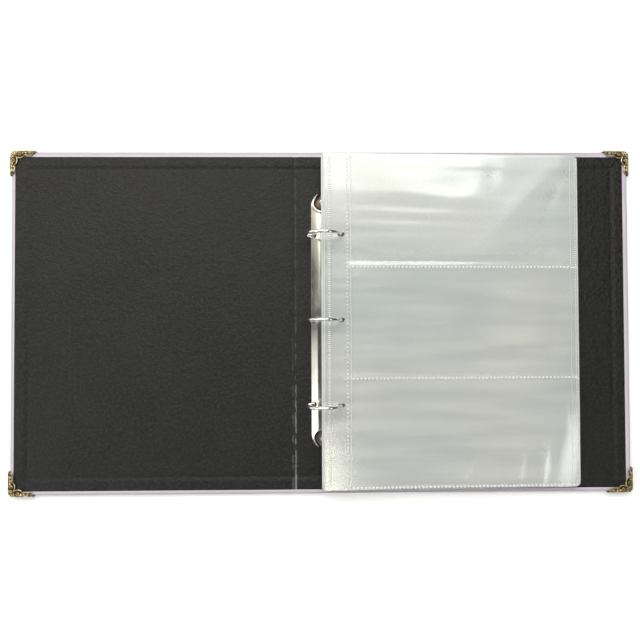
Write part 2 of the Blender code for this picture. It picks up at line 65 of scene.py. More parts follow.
# --- the case, read from the frame ---
SKIN_LOW, SKIN_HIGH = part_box("back_cover_skin")
COVER_REACH, COVER_HALF, TURN_TOP = SKIN_HIGH  # fore edge, head, top of the turned-in skin
SKIN_Z = SKIN_LOW.z  # outside face of the case
CREASE_X, _, CREASE_Z = JOINTS["spine_fold"]["pos_m"]
TURN_IN = 13.0 * MM  # width of the turned-in skin
COVER_CORNER = 3.8 * MM  # corner radius of the covers
COVER_ROLL = 1.6 * MM  # how softly the skin rolls over a board's edge
ROLL_STEPS = 9  # points round a quarter of that roll
CORNER_STEPS = 15  # and round a cover's corner
SKIN_THICKNESS = 0.35 * MM
GROOVE_FLOOR = 0.5 * MM  # half width of a joint groove's floor
GROOVE_TOP = 5.2 * MM  # half width of a joint groove where its walls end
GROOVE_OUTSIDE = 0.8 * MM  # depth of a joint groove in the outside face
GROOVE_INSIDE = 0.4 * MM  # and in the lining
LINING_THICKNESS = 0.4 * MM
LINING_LIFT = 0.1 * MM  # glue under the lining's edge
LINING_ROUND = 0.8 * MM  # width over which the lining's cut edge thins out
LINING_SINK = 0.45 * MM  # from the turned-in skin's top down to the lining on the boards
LINING_DIP = 0.32 * MM  # how much deeper it is pressed along the turned-in skin
LINING_SAG = 0.05 * MM  # uneven glue
LINING_CREASE = 0.12 * MM  # depth of the fine crease beside a fold
BEND_HALF = 3.5 * MM  # half the width that bends at a fold
FOLD_END = 30.0 * MM  # spine centre to where the fine mesh of a fold ends
STEP_OUTER = 9.0 * MM  # a cover's edge to the fine mesh of the lining's step
STEP_INNER = 18.0 * MM

# --- brass corners ---
CORNER_LOW, CORNER_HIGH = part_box("back_head_corner")
BRASS_X, BRASS_Y, BRASS_TOP = CORNER_HIGH
BRASS_LEG = CORNER_HIGH.x - CORNER_LOW.x
BRASS_THICKNESS = 0.45 * MM
BRASS_RADIUS = 4.6 * MM
BRASS_RELIEF = 0.42 * MM  # height of the stamped ornament
BRASS_ROLL = 0.9 * MM  # radius of the rolled outer edge
BRASS_STEPS = 30  # points across a leg
LEG_STEPS = 56  # and along it
BEND_STEPS = 25  # round the corner
LEG_LEAST = 1.7 * MM  # width of a leg at its narrowest
SCALLOPS = ((8.4, 4.2, 3.4, 3.2), (16.0, 4.6, 2.4, 2.1))  # mm: middle, half length, width, swell
# Scrolls, in mm: how far along the leg and in from its edge, and the radius.
SCROLLS = ((8.3, 3.0, 1.15), (11.0, 2.1, 0.6), (13.6, 2.1, 0.6), (16.4, 2.3, 0.95))
BEAD_PITCH = 1.15 * MM  # of the beads along the outer rim
SHELL_RIBS = 16  # in a full turn
SHELL_CENTRE = 5.4 * MM  # the inner notch, from which the shell's ribs fan out

# --- ring mechanism ---
HOUSING_LOW, HOUSING_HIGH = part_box("ring_housing")
MECH_X = (HOUSING_LOW.x + HOUSING_HIGH.x) / 2  # middle of the mechanism
MECH_Y = (HOUSING_LOW.y + HOUSING_HIGH.y) / 2
HOUSING_Z = HOUSING_LOW.z
HOUSING_HALF_LENGTH = (HOUSING_HIGH.y - HOUSING_LOW.y) / 2
HOUSING_HALF_WIDTH = (HOUSING_HIGH.x - HOUSING_LOW.x) / 2 - 0.35 * MM  # a little less than in CAD
HOUSING_CROWN = HOUSING_HIGH.z - HOUSING_Z
HOUSING_SHEET = 0.5 * MM
HOUSING_FALL = 0.62  # share of its height that the arch loses towards its long edges
HOUSING_TAPER = 11.5 * MM  # length over which an end narrows
HOUSING_NOSE = 14.0 * MM  # and over which it would narrow to nothing
HOUSING_STEPS = 61  # points over the arch
HOUSING_SLOT_X = 7.9 * MM  # the rings' slots, from the housing's middle line
HOUSING_SLOT = (2.4 * MM, 1.8 * MM)  # and their half length and half width
SCOOP_RADIUS = 8.6 * MM
SCOOP_WALL = 2.5 * MM
SCOOP_LIP = 1.2 * MM
SCOOP_BEAD = 0.16 * MM  # height of the rim pressed round a scoop
RIVET_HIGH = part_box("rivet_head_end")[1]
RIVET_RADIUS = 3.9 * MM
RIVET_Y = RIVET_HIGH.y - MECH_Y - RIVET_RADIUS
RIVET_TOP = RIVET_HIGH.z
RIVET_RIM = 0.62 * MM  # radius of the rolled rim's section
# The flat head's profile as (radius, height) in mm.
RIVET_HEAD = ((0.0, 0.08), (2.5, 0.02), (3.4, 0.06), (3.8, 0.22), (3.9, 0.42), (3.7, 0.5), (1.6, 0.5))
RIVET_SIDES = 48
WIRE_RADIUS = 1.4 * MM
WIRE_SIDES = 28
WIRE_STEPS = 60
RING_Z = JOINTS["leaf_turn"]["pos_m"][2]
RING_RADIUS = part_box("right_half_ring_1")[1].z - WIRE_RADIUS - RING_Z
RING_PITCH = 70.0 * MM
RING_LAP = 1.2 * MM  # how far each half ring's tip reaches past the middle
RING_FOOT_ANGLE = -52.0  # degrees from level, where the wire turns down into the housing
RING_FOOT_X = 7.6 * MM
PIVOT_Z = JOINTS["right_ring_open"]["pos_m"][2]

# --- pocket sheets ---
SHEET_COUNT = 10
CAD_FILM = 0.32 * MM  # thickness of a sheet in the CAD model
FILM = 0.14 * MM  # thickness shown
HOLE_TO_EDGE = 13.0 * MM
RING_SLOT_HALF_WIDTH = 1.5 * MM
LEAF_SLOT = (-1.3 * MM, 4.3 * MM)  # the ring slots' ends, from the line of the holes
STACK_SLOT = (-3.75 * MM, 3.9 * MM)
STACK_SLOT_STEP = 0.16 * MM  # how much further right a slot starts than the one below it
SLOT_SIDES = 40  # of the slots' outline
SHEET_FLAT = 6.0 * MM  # from the holes to where a stacked sheet starts to fall
SHEET_FALL = 70.0 * MM  # and to where it lies at its lowest
SHEET_CORNER = 4.5 * MM
WELD_PITCH = 3.15 * MM
LADDER_WELD = 4.6 * MM  # the welds, from a sheet's left edge
DOTTED_WELD = 19.4 * MM
POCKET_EDGE = 22.2 * MM
RIGHT_WELD = 2.2 * MM  # the last ones, from its right edge
RIGHT_LINE = 6.4 * MM
ROW_WELDS = (44.8 * MM, -46.8 * MM)
FOOT_WELD = 1.6 * MM  # from the sheet's foot
ROW_PILLOW = (2.4 * MM, 1.9 * MM)  # length and width of one weld spot in a row
WELD_ROUGHNESS = 0.45
BINDING_STRIP = 26.0 * MM  # the part by the rings, which has a finer mesh
SEAM_RISE = 0.52 * MM  # how far a pocket's mouth stands up over the weld below it
CORNER_DROOP = 0.75 * MM
LOOSE_WAVE = 0.07 * MM  # mean height of the stacked sheets' waves


# ======== meshes ========

def smooth(value, start, end):
    """0 before start, 1 after end, and an even S between them."""
    share = np.clip((value - start) / (end - start), 0.0, 1.0)
    return share * share * (3 - 2 * share)


def ridge(distance, width):
    """1 at distance 0, falling off like a bell to either side."""
    return np.exp(-(distance / width) ** 2)


def spread(*stops):
    """Stations from (start, end, spacing) stretches, joined and in order."""
    runs = [np.linspace(start, end, max(2, int(round(abs(end - start) / step)) + 1))
            for start, end, step in stops]
    values = np.sort(np.concatenate(runs))
    keep = np.concatenate([[True], np.diff(values) > 1e-6])
    return values[keep]


def grid_faces(rows, columns, first=0):
    """Quads between the points of a grid whose points are numbered row by row."""
    return [(first + i * columns + j, first + (i + 1) * columns + j,
             first + (i + 1) * columns + j + 1, first + i * columns + j + 1)
            for i in range(rows - 1) for j in range(columns - 1)]


def layered_body(upper, lower):
    """Points and faces of a closed body between two grids of points of the same layout."""
    rows, columns = upper.shape[:2]
    count = rows * columns
    points = np.concatenate([upper.reshape(-1, 3), lower.reshape(-1, 3)])
    faces = grid_faces(rows, columns)
    faces += [tuple(reversed(face)) for face in grid_faces(rows, columns, count)]
    rim = [j for j in range(columns)]
    rim += [i * columns + columns - 1 for i in range(1, rows)]
    rim += [(rows - 1) * columns + j for j in range(columns - 2, -1, -1)]
    rim += [i * columns for i in range(rows - 2, 0, -1)]
    faces += [(a, b, b + count, a + count) for a, b in zip(rim, rim[1:] + rim[:1])]
    return points, faces


def lofted_body(loops):
    """Points and faces of a closed body through cross-sections of equally many points."""
    sections, count = loops.shape[:2]
    faces = []
    for i in range(sections - 1):
        for j in range(count):
            k = (j + 1) % count
            faces.append((i * count + j, i * count + k, (i + 1) * count + k, (i + 1) * count + j))
    faces.append(tuple(range(count)))
    faces.append(tuple(range((sections - 1) * count, sections * count)))
    return loops.reshape(-1, 3), faces


def turned_body(profile, centre, sides):
    """Points and faces of a body turned about an upright line from (radius, height) points."""
    angles = np.arange(sides) * math.tau / sides
    points, rings, faces = [], [], []
    for radius, height in profile:
        first = len(points)
        if radius == 0:
            points.append((centre[0], centre[1], height))
            rings.append([first])
            continue
        points += [(centre[0] + radius * math.cos(a), centre[1] + radius * math.sin(a), height)
                   for a in angles]
        rings.append(list(range(first, first + sides)))
    for low, high in zip(rings, rings[1:]):
        for i in range(sides):
            j = (i + 1) % sides
            corners = (low[i % len(low)], low[j % len(low)], high[j % len(high)], high[i % len(high)])
            faces.append(tuple(dict.fromkeys(corners)))
    return np.array(points), faces


def merge_bodies(bodies):
    """Points and faces of several bodies as one list, and which body each point is from."""
    points, faces, owners = [], [], []
    for number, (body_points, body_faces) in enumerate(bodies):
        first = sum(len(p) for p in points)
        points.append(body_points)
        faces += [tuple(first + i for i in face) for face in body_faces]
        owners.append(np.full(len(body_points), number))
    return np.concatenate(points), faces, np.concatenate(owners)


def add_object(name, data):
    """A new object in the scene."""
    new = bpy.data.objects.new(name, data)
    bpy.context.scene.collection.objects.link(new)
    return new


def make_piece(name, points, faces, material, sharp=None, **fields):
    """A mesh object with outward faces; fields are named numbers kept at its points."""
    mesh = bpy.data.meshes.new(name)
    mesh.from_pydata(np.asarray(points).tolist(), [], faces)
    piece = add_object(name, mesh)
    mesh.materials.append(material)
    for key, values in fields.items():
        attribute = mesh.attributes.new(key, "FLOAT", "POINT")
        attribute.data.foreach_set("value", np.asarray(values, np.float32))
    turn_faces_out(mesh)
    mesh.shade_smooth()
    if sharp is not None:
        mesh.set_sharp_from_angle(angle=math.radians(sharp))
    return piece


def turn_faces_out(mesh, weld=0.0):
    bm = bmesh.new()
    bm.from_mesh(mesh)
    if weld:
        bmesh.ops.remove_doubles(bm, verts=bm.verts, dist=weld)
    bm.normal_update()
    bmesh.ops.recalc_face_normals(bm, faces=bm.faces)
    bm.to_mesh(mesh)
    bm.free()


def apply_modifiers(piece):
    """Keep a piece's shape with its modifiers, and drop the modifiers."""
    state = bpy.context.evaluated_depsgraph_get()
    finished = bpy.data.meshes.new_from_object(piece.evaluated_get(state))
    piece.modifiers.clear()
    piece.data = finished


def cut_out(piece, bodies):
    """Cut closed bodies out of a piece."""
    points, faces, _ = merge_bodies(bodies)
    cutter = make_piece(piece.name + "_cutter", points, faces, piece.data.materials[0])
    modifier = piece.modifiers.new("cut", "BOOLEAN")
    modifier.solver = "EXACT"
    modifier.object = cutter
    apply_modifiers(piece)
    bpy.data.objects.remove(cutter, do_unlink=True)


def pin_texture(piece):
    """Store each point's place at rest, so that the texture stays put as the piece bends."""
    mesh = piece.data
    places = np.zeros(len(mesh.vertices) * 3, np.float32)
    mesh.vertices.foreach_get("co", places)
    attribute = mesh.attributes.new("rest_place", "FLOAT_VECTOR", "POINT")
    attribute.data.foreach_set("vector", places)


def finish_piece(piece, body, slot, *nodes):
    pin_texture(piece)
    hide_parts(*nodes)
    if body:
        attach(piece, body)
    return piece


# ======== materials ========

class Nodes:
    """Short names for making the nodes of a tree whose result goes into one node."""

    def __init__(self, tree, last):
        self.tree = tree
        self.last = tree.nodes[last]

    def set(self, socket, value):
        self.feed(self.last.inputs[socket], value)

    def feed(self, socket, value):
        if isinstance(value, bpy.types.NodeSocket):
            self.tree.links.new(value, socket)
        else:
            socket.default_value = value

    def node(self, kind, inputs, output=0, **settings):
        node = self.tree.nodes.new("ShaderNode" + kind)
        for key, value in settings.items():
            setattr(node, key, value)
        for key, value in inputs.items():
            self.feed(node.inputs[key], value)
        return node.outputs[output]


class Shader(Nodes):
    """Short names for the nodes of one Principled material."""

    def __init__(self, name, colour, roughness, **constants):
        self.material = bpy.data.materials.new(name)
        self.material.use_nodes = True
        self.material.diffuse_color = (*colour, 1.0)
        super().__init__(self.material.node_tree, "Principled BSDF")
        self.set("Base Color", (*colour, 1.0))
        self.set("Roughness", roughness)
        for key, value in constants.items():
            self.set(key.replace("_", " "), value)

    def field(self, name):
        """A number stored at the mesh's points."""
        return self.node("Attribute", {}, "Fac", attribute_name=name)

    def place(self):
        """Where a point is at rest, in metres."""
        return self.node("Attribute", {}, "Vector", attribute_name="rest_place")

    def object_place(self):
        return self.node("TexCoord", {}, "Object")

    def stretch(self, place, scale):
        return self.node("Mapping", {"Vector": place, "Scale": scale})

    def noise(self, place, scale, detail=3.0, roughness=0.55):
        return self.node("TexNoise", {"Vector": place, "Scale": scale, "Detail": detail,
                                      "Roughness": roughness})

    def cells(self, place, scale, smoothness=0.4):
        return self.node("TexVoronoi", {"Vector": place, "Scale": scale, "Smoothness": smoothness},
                         "Distance", feature="SMOOTH_F1")

    def remap(self, value, low, high, new_low=0.0, new_high=1.0):
        """Values from low to high, spread smoothly over a new range."""
        return self.node("MapRange", {"Value": value, "From Min": low, "From Max": high,
                                      "To Min": new_low, "To Max": new_high},
                         interpolation_type="SMOOTHSTEP")

    def add(self, a, b):
        return self.node("Math", {0: a, 1: b}, operation="ADD")

    def multiply(self, a, b):
        return self.node("Math", {0: a, 1: b}, operation="MULTIPLY")

    def mix_number(self, share, a, b):
        """Number a where share is 0 and number b where it is 1."""
        return self.node("Mix", {0: share, 2: a, 3: b}, 0, data_type="FLOAT")

    def mix(self, share, a, b):
        """Colour a where share is 0 and colour b where it is 1."""
        colours = [c if isinstance(c, bpy.types.NodeSocket) else (*c, 1.0) for c in (a, b)]
        return self.node("Mix", {0: share, 6: colours[0], 7: colours[1]}, 2, data_type="RGBA")

    def finish(self, colour, roughness, relief, strength, depth):
        """The material, once its surface has its colour, its roughness and its fine relief."""
        self.set("Base Color", colour)
        self.set("Roughness", roughness)
        self.set("Normal", self.node("Bump", {"Height": relief, "Strength": strength, "Distance": depth}))
        return self.material


def lilac_leatherette():
    """Pale lilac coated paper with a fine grain, a little darker on the rolled edges."""
    shader = Shader("lilac_leatherette", (0.70, 0.63, 0.72), 0.45, Specular_IOR_Level=0.35)
    place = shader.place()
    cloud = shader.noise(place, 28, 4.0)
    tint = shader.mix(shader.remap(cloud, 0.35, 0.65), (0.615, 0.552, 0.636), (0.665, 0.606, 0.678))
    speck = shader.noise(place, 900, 2.0)
    tint = shader.mix(shader.remap(speck, 0.45, 0.75, 0.0, 0.35), tint, (0.555, 0.495, 0.58))
    edge = shader.multiply(shader.field("edge"), shader.remap(cloud, 0.3, 0.6, 0.6, 1.0))
    colour = shader.mix(edge, tint, (0.50, 0.455, 0.52))
    grain = shader.add(shader.cells(place, 1150), shader.multiply(shader.noise(place, 2600, 2.0), 0.5))
    return shader.finish(colour, shader.remap(speck, 0.3, 0.7, 0.40, 0.55), grain, 0.35, 0.08 * MM)


def black_leatherette():
    """Near-black coated paper with a pebble grain, worn grey along the folds."""
    shader = Shader("black_leatherette", (0.014, 0.014, 0.0135), 0.5, Specular_IOR_Level=0.32)
    place = shader.place()
    cloud = shader.noise(place, 16, 5.0, 0.6)
    speck = shader.noise(place, 420, 4.0, 0.7)
    base = shader.mix(shader.remap(cloud, 0.35, 0.65), (0.0030, 0.0030, 0.0027), (0.0060, 0.0058, 0.0052))
    base = shader.mix(shader.remap(speck, 0.42, 0.72, 0.0, 0.75), base, (0.028, 0.0275, 0.0243))
    blotch = shader.noise(shader.stretch(place, (1.0, 0.35, 1.0)), 260, 4.0, 0.7)
    worn = shader.multiply(shader.field("worn"), shader.remap(blotch, 0.42, 0.58))
    colour = shader.mix(worn, base, (0.26, 0.26, 0.243))
    coarse = shader.noise(place, 330, 3.0, 0.6)
    grain = shader.add(shader.cells(place, 1000, 0.6), shader.multiply(coarse, 2.4))
    return shader.finish(colour, shader.remap(speck, 0.3, 0.7, 0.38, 0.54), grain, 1.0, 0.32 * MM)


def greyboard():
    """Bookbinder's board: grey pulp with fibres and flecks, laid in the board's plane."""
    shader = Shader("greyboard", (0.34, 0.31, 0.27), 0.9, Specular_IOR_Level=0.2)
    place = shader.object_place()
    pulp = shader.noise(place, 120, 6.0, 0.7)
    fibre = shader.noise(shader.stretch(place, (1.0, 5.0, 12.0)), 240, 4.0, 0.7)
    tint = shader.mix(shader.remap(pulp, 0.35, 0.65), (0.28, 0.26, 0.22), (0.40, 0.37, 0.32))
    colour = shader.mix(shader.remap(fibre, 0.55, 0.75, 0.0, 0.5), tint, (0.52, 0.48, 0.42))
    return shader.finish(colour, shader.remap(pulp, 0.3, 0.7, 0.8, 0.98), fibre, 0.6, 0.15 * MM)


def antique_brass():
    """Stamped brass, dark brown in the hollows and rubbed bright where the ornament stands up."""
    shader = Shader("antique_brass", (0.36, 0.27, 0.13), 0.4, Metallic=1.0)
    place = shader.place()
    mottle = shader.noise(place, 420, 4.0, 0.65)
    height = shader.add(shader.field("relief"), shader.remap(mottle, 0.3, 0.7, -0.16, 0.16))
    wear = shader.remap(height, 0.28, 0.70)
    dull = shader.mix(mottle, (0.030, 0.018, 0.005), (0.10, 0.066, 0.022))
    rubbed = shader.mix(shader.remap(mottle, 0.35, 0.7), (0.37, 0.28, 0.125), (0.76, 0.66, 0.45))
    roughness = shader.remap(height, 0.2, 0.8, 0.55, 0.30)
    pits = shader.noise(place, 1500, 3.0)
    return shader.finish(shader.mix(wear, dull, rubbed), roughness, pits, 0.3, 0.05 * MM)


def nickel_plate(name, polish):
    """Bright nickel with faint smudges and fine polishing marks, and painted dark shade on the scoops'
    floors; polish is its least roughness.
    """
    shader = Shader(name, (0.80, 0.785, 0.735), 0.16, Metallic=1.0)
    place = shader.object_place()
    smudge = shader.noise(place, 55, 4.0, 0.6)
    marks = shader.noise(shader.stretch(place, (14.0, 0.6, 14.0)), 260, 3.0, 0.6)
    tint = shader.mix(shader.remap(smudge, 0.35, 0.7), (0.82, 0.81, 0.765), (0.74, 0.72, 0.66))
    # Painted shade: where the hollow field marks a scoop's floor, the colour goes dark brown and rougher,
    # standing in for the dark room that the scoop reflects.
    painted_scoop_shade = shader.multiply(shader.field("hollow"), shader.remap(smudge, 0.3, 0.6, 0.75, 1.0))
    colour = shader.mix(painted_scoop_shade, tint, (0.055, 0.031, 0.015))
    roughness = shader.add(shader.remap(smudge, 0.35, 0.7, polish, 2 * polish),
                           shader.remap(marks, 0.3, 0.7, 0.0, polish / 2))
    roughness = shader.add(roughness, shader.multiply(painted_scoop_shade, 0.25))
    return shader.finish(colour, roughness, marks, 0.05, 0.02 * MM)


def clear_film(name, base, alpha, weld_alpha, mean_roughness):
    """Glossy polypropylene film: milky where lifted, clearer where it lies close, frosted at welds."""
    shader = Shader(name, base, mean_roughness, IOR=2.4)
    place = shader.place()
    haze = shader.noise(place, 9, 1.5, 0.5)
    cool, warm = [tuple(c * s for c, s in zip(base, tint))
                  for tint in ((0.93, 0.97, 1.0), (1.03, 1.01, 0.985))]
    tint = shader.mix(shader.remap(haze, 0.2, 0.8), cool, warm)
    streaks = shader.noise(shader.stretch(place, (0.10, 1.0, 1.0)), 110, 1.0)
    # The lift field also carries the painted highlight on the top leaf's head pocket.
    lift = shader.add(shader.field("lift"), shader.remap(streaks, 0.3, 0.7, -0.22, 0.22))
    close = shader.mix(shader.remap(lift, 0.0, 1.0), (0.86, 0.875, 0.895), (1.08, 1.08, 1.07))
    tint = shader.node("Mix", {0: 1.0, 6: tint, 7: close}, 2, data_type="RGBA", blend_type="MULTIPLY")
    weld = shader.field("weld")
    colour = shader.mix(weld, tint, (0.93, 0.93, 0.88))
    dust = shader.noise(place, 700, 2.0)
    clear = shader.multiply(shader.remap(dust, 0.3, 0.75, alpha * 0.96, alpha * 1.05),
                            shader.remap(shader.field("lift"), 0.5, 1.2, 1.0, 1.4))
    shader.set("Alpha", shader.mix_number(weld, clear, weld_alpha))
    roughness = shader.remap(haze, 0.3, 0.7, mean_roughness * 0.8, mean_roughness * 1.25)
    roughness = shader.mix_number(weld, roughness, WELD_ROUGHNESS)
    return shader.finish(colour, roughness, streaks, 0.2, 0.025 * MM)


def studio_floor():
    """A white table, lit a little from inside, as for catalogue pictures."""
    shader = Shader("studio_floor", (0.94, 0.94, 0.94), 0.9, Specular_IOR_Level=0.1)
    mottle = shader.noise(shader.object_place(), 6, 3.0)
    tint = shader.mix(shader.remap(mottle, 0.3, 0.7), (0.93, 0.93, 0.93), (0.95, 0.95, 0.95))
    shader.set("Base Color", tint)
    shader.set("Emission Color", (1.0, 1.0, 1.0, 1.0))
    shader.set("Emission Strength", 0.14)
    return shader.material


# ======== the case ========

def groove(x):
    """1 on the floor of the joint groove at either side of the spine, 0 clear of it."""
    return 1 - smooth(np.abs(np.abs(x) - CREASE_X), GROOVE_FLOOR, GROOVE_TOP)


def cover_profile():
    """(inset, height) of the skin from the turn-in's edge, round the board, to the outside face."""
    top_middle = TURN_TOP - COVER_ROLL
    low_middle = SKIN_Z + COVER_ROLL
    points = [(inset, TURN_TOP) for inset in (TURN_IN, 9 * MM, 6 * MM, 4 * MM, 2.6 * MM)]
    for angle in np.radians(np.linspace(90, 0, ROLL_STEPS)):
        points.append((COVER_ROLL * (1 - math.cos(angle)), top_middle + COVER_ROLL * math.sin(angle)))
    for angle in np.radians(np.linspace(0, -90, ROLL_STEPS)):
        points.append((COVER_ROLL * (1 - math.cos(angle)), low_middle + COVER_ROLL * math.sin(angle)))
    points += [(inset, SKIN_Z) for inset in (2.6 * MM, 5 * MM, 9 * MM, TURN_IN)]
    return points


def fan_reach(direction, inset):
    """From a turn-in's inner corner to the cover's rounded outline at an inset, along a ray."""
    half = TURN_IN - inset
    radius = min(max(COVER_CORNER - inset, 0.0), half)
    middle = half - radius
    along = middle * (direction[0] + direction[1])
    inside = along ** 2 - 2 * middle ** 2 + radius ** 2
    if radius > 0 and inside >= 0:
        reach = along + math.sqrt(inside)
        if min(direction) * reach >= middle:
            return reach
    return half / max(direction)


def skin_half(name, side):
    """Skin of one cover with its half of the spine, from the spine's centre to the fore edge."""
    columns = spread((0, 16 * MM, 4 * MM), (16 * MM, FOLD_END, 0.5 * MM),
                     (FOLD_END, COVER_REACH - TURN_IN, 9 * MM))
    inner_y = COVER_HALF - TURN_IN
    inner_x = COVER_REACH - TURN_IN
    rows = spread((-inner_y, inner_y, 9 * MM))
    rays = [(x, -inner_y, 0.0, -1.0) for x in columns]
    turns = np.radians(np.linspace(0, 90, CORNER_STEPS))[1:-1]
    rays += [(inner_x, -inner_y, math.sin(a), -math.cos(a)) for a in turns]
    rays += [(inner_x, y, 1.0, 0.0) for y in rows]
    rays += [(inner_x, inner_y, math.cos(a), math.sin(a)) for a in turns]
    rays += [(x, inner_y, 0.0, 1.0) for x in columns[::-1]]
    profile = cover_profile()
    wrap = np.zeros((len(rays), len(profile), 3))
    edge = np.zeros((len(rays), len(profile)))
    for i, (x, y, run_x, run_y) in enumerate(rays):
        for j, (inset, height) in enumerate(profile):
            reach = fan_reach((abs(run_x), abs(run_y)), inset) if run_x and run_y else TURN_IN - inset
            wrap[i, j] = (x + run_x * reach, y + run_y * reach, height)
            edge[i, j] = 1 - smooth(inset, 1.6 * MM, 2.8 * MM)
    floor_x, floor_y = np.meshgrid(columns, rows, indexing="ij")
    floor = np.stack([floor_x, floor_y, np.full(floor_x.shape, SKIN_Z)], axis=2)
    points = np.concatenate([wrap.reshape(-1, 3), floor.reshape(-1, 3)])
    faces = grid_faces(*wrap.shape[:2])
    faces += grid_faces(*floor.shape[:2], len(rays) * len(profile))
    depth = TURN_TOP - SKIN_Z
    from_outside = (points[:, 2] - SKIN_Z) / depth
    pressed = GROOVE_OUTSIDE - (GROOVE_OUTSIDE + GROOVE_INSIDE) * from_outside
    points[:, 2] += pressed * groove(points[:, 0])
    points[:, 0] *= side
    edges = np.concatenate([edge.ravel(), np.zeros(floor_x.size)])
    piece = make_piece(name, points, faces, LILAC, None, edge=edges)
    turn_faces_out(piece.data, weld=0.001 * MM)
    face_down_outside(piece.data)
    solid = piece.modifiers.new("thickness", "SOLIDIFY")
    solid.thickness = SKIN_THICKNESS
    solid.offset = -1.0
    apply_modifiers(piece)
    piece.data.shade_smooth()
    piece.data.set_sharp_from_angle(angle=math.radians(50))
    return piece


def face_down_outside(mesh):
    """An open skin's faces point away from the boards: the outside face points down."""
    lowest = min(mesh.polygons, key=lambda face: face.center.z)
    if lowest.normal.z > 0:
        mesh.flip_normals()


def lining_underside(x, y):
    """Over the turned-in skin at the edges, on the boards inside it, and down a little at the folds."""
    inward = np.minimum(COVER_REACH - np.abs(x), COVER_HALF - np.abs(y))
    step = 1 - smooth(inward, TURN_IN - 2.0 * MM, TURN_IN + 2.6 * MM)
    on_board = TURN_TOP - LINING_SINK
    height = on_board + (TURN_TOP + LINING_LIFT - on_board) * step
    dip = LINING_DIP * ridge(inward - TURN_IN - 1.2 * MM, 1.9 * MM)
    sag = LINING_SAG * np.sin(x * 41.0) * np.sin(y * 53.0 + 0.6)
    height = height - dip + sag * smooth(inward, TURN_IN, TURN_IN + 20 * MM)
    crease = LINING_CREASE * ridge(np.abs(x) - CREASE_X - 0.9 * MM, 0.5 * MM)
    return height - GROOVE_INSIDE * groove(x) - crease


def lining_half(name, side, low, high):
    """Lining of one cover with its half of the spine, between the corners of its CAD nodes."""
    reach = max(abs(low.x), abs(high.x))
    inner, outer = COVER_REACH - STEP_INNER, COVER_REACH - STEP_OUTER
    columns = spread((0, 15 * MM, 3 * MM), (15 * MM, FOLD_END, 0.3 * MM), (FOLD_END, inner, 5 * MM),
                     (inner, outer, 0.45 * MM), (outer, reach - LINING_ROUND, 1.5 * MM),
                     (reach - LINING_ROUND, reach, 0.2 * MM))
    inner, outer = COVER_HALF - STEP_INNER, COVER_HALF - STEP_OUTER
    rows = spread((low.y, low.y + LINING_ROUND, 0.2 * MM), (low.y + LINING_ROUND, -outer, 1.5 * MM),
                  (-outer, -inner, 0.45 * MM), (-inner, inner, 5 * MM), (inner, outer, 0.45 * MM),
                  (outer, high.y - LINING_ROUND, 1.5 * MM), (high.y - LINING_ROUND, high.y, 0.2 * MM))
    x, y = np.meshgrid(columns, rows, indexing="ij")
    under = lining_underside(x, y)
    to_edge = np.minimum(reach - x, np.minimum(high.y - y, y - low.y))
    rounded = np.clip(1 - to_edge / LINING_ROUND, 0.0, 1.0)
    thick = LINING_THICKNESS * (0.35 + 0.65 * np.sqrt(1 - rounded ** 2))
    upper = np.stack([side * x, y, under + thick], axis=2)
    lower = np.stack([side * x, y, under], axis=2)
    points, faces = layered_body(upper, lower)
    foot = smooth(-y, -30 * MM, COVER_HALF)
    line = ridge(x - CREASE_X, 0.7 * MM) * (0.12 + 0.88 * foot)
    second = 0.5 * foot * ridge(x - CREASE_X - 2.4 * MM, 0.5 * MM)
    worn = np.tile((line + second).ravel(), 2)
    return make_piece(name, points, faces, LINING, 40, worn=worn)


def build_case():
    fold_in = CREASE_X - BEND_HALF
    fold_out = CREASE_X + BEND_HALF
    back = ("back_cover", "spine", (fold_out, 0, CREASE_Z), (fold_in, 0, CREASE_Z))
    front = ("spine", "front_cover", (-fold_in, 0, CREASE_Z), (-fold_out, 0, CREASE_Z))
    for cover, side, fold in (("back", 1, back), ("front", -1, front)):
        skin = skin_half(cover + "_skin_and_half_spine", side)
        nodes = [cover + "_cover_skin"] + (["spine_skin"] if cover == "back" else [])
        finish_piece(skin, None, "lilac_cover", *nodes)
        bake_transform(skin)
        low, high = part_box(cover + "_cover_lining")
        lining = lining_half(cover + "_lining_and_half_spine", side, low, high)
        nodes = [cover + "_cover_lining", cover + "_crease"] + (["spine_lining"] if cover == "back" else [])
        finish_piece(lining, None, "black_lining", *nodes)
        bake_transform(lining)
    for name in ("back_cover_board", "front_cover_board", "spine_board"):
        paint_node(name, BOARD)


def paint_node(name, material):
    node = frame["nodes"][name]
    node.data.materials.clear()
    node.data.materials.append(material)


# ======== brass corners ========

def leg_width(along):
    """Width of a corner's leg at a distance from the corner: two scallops and a slanting tip."""
    width = np.full_like(along, LEG_LEAST)
    for middle, reach, base, swell in SCALLOPS:
        inside = 1 - ((along - middle * MM) / (reach * MM)) ** 2
        scallop = base * MM + swell * MM * np.sqrt(np.clip(inside, 0, 1))
        width = np.where(inside > 0, np.maximum(width, scallop), width)
    return np.minimum(width, 1.15 * (BRASS_LEG + 1.0 * MM - along))


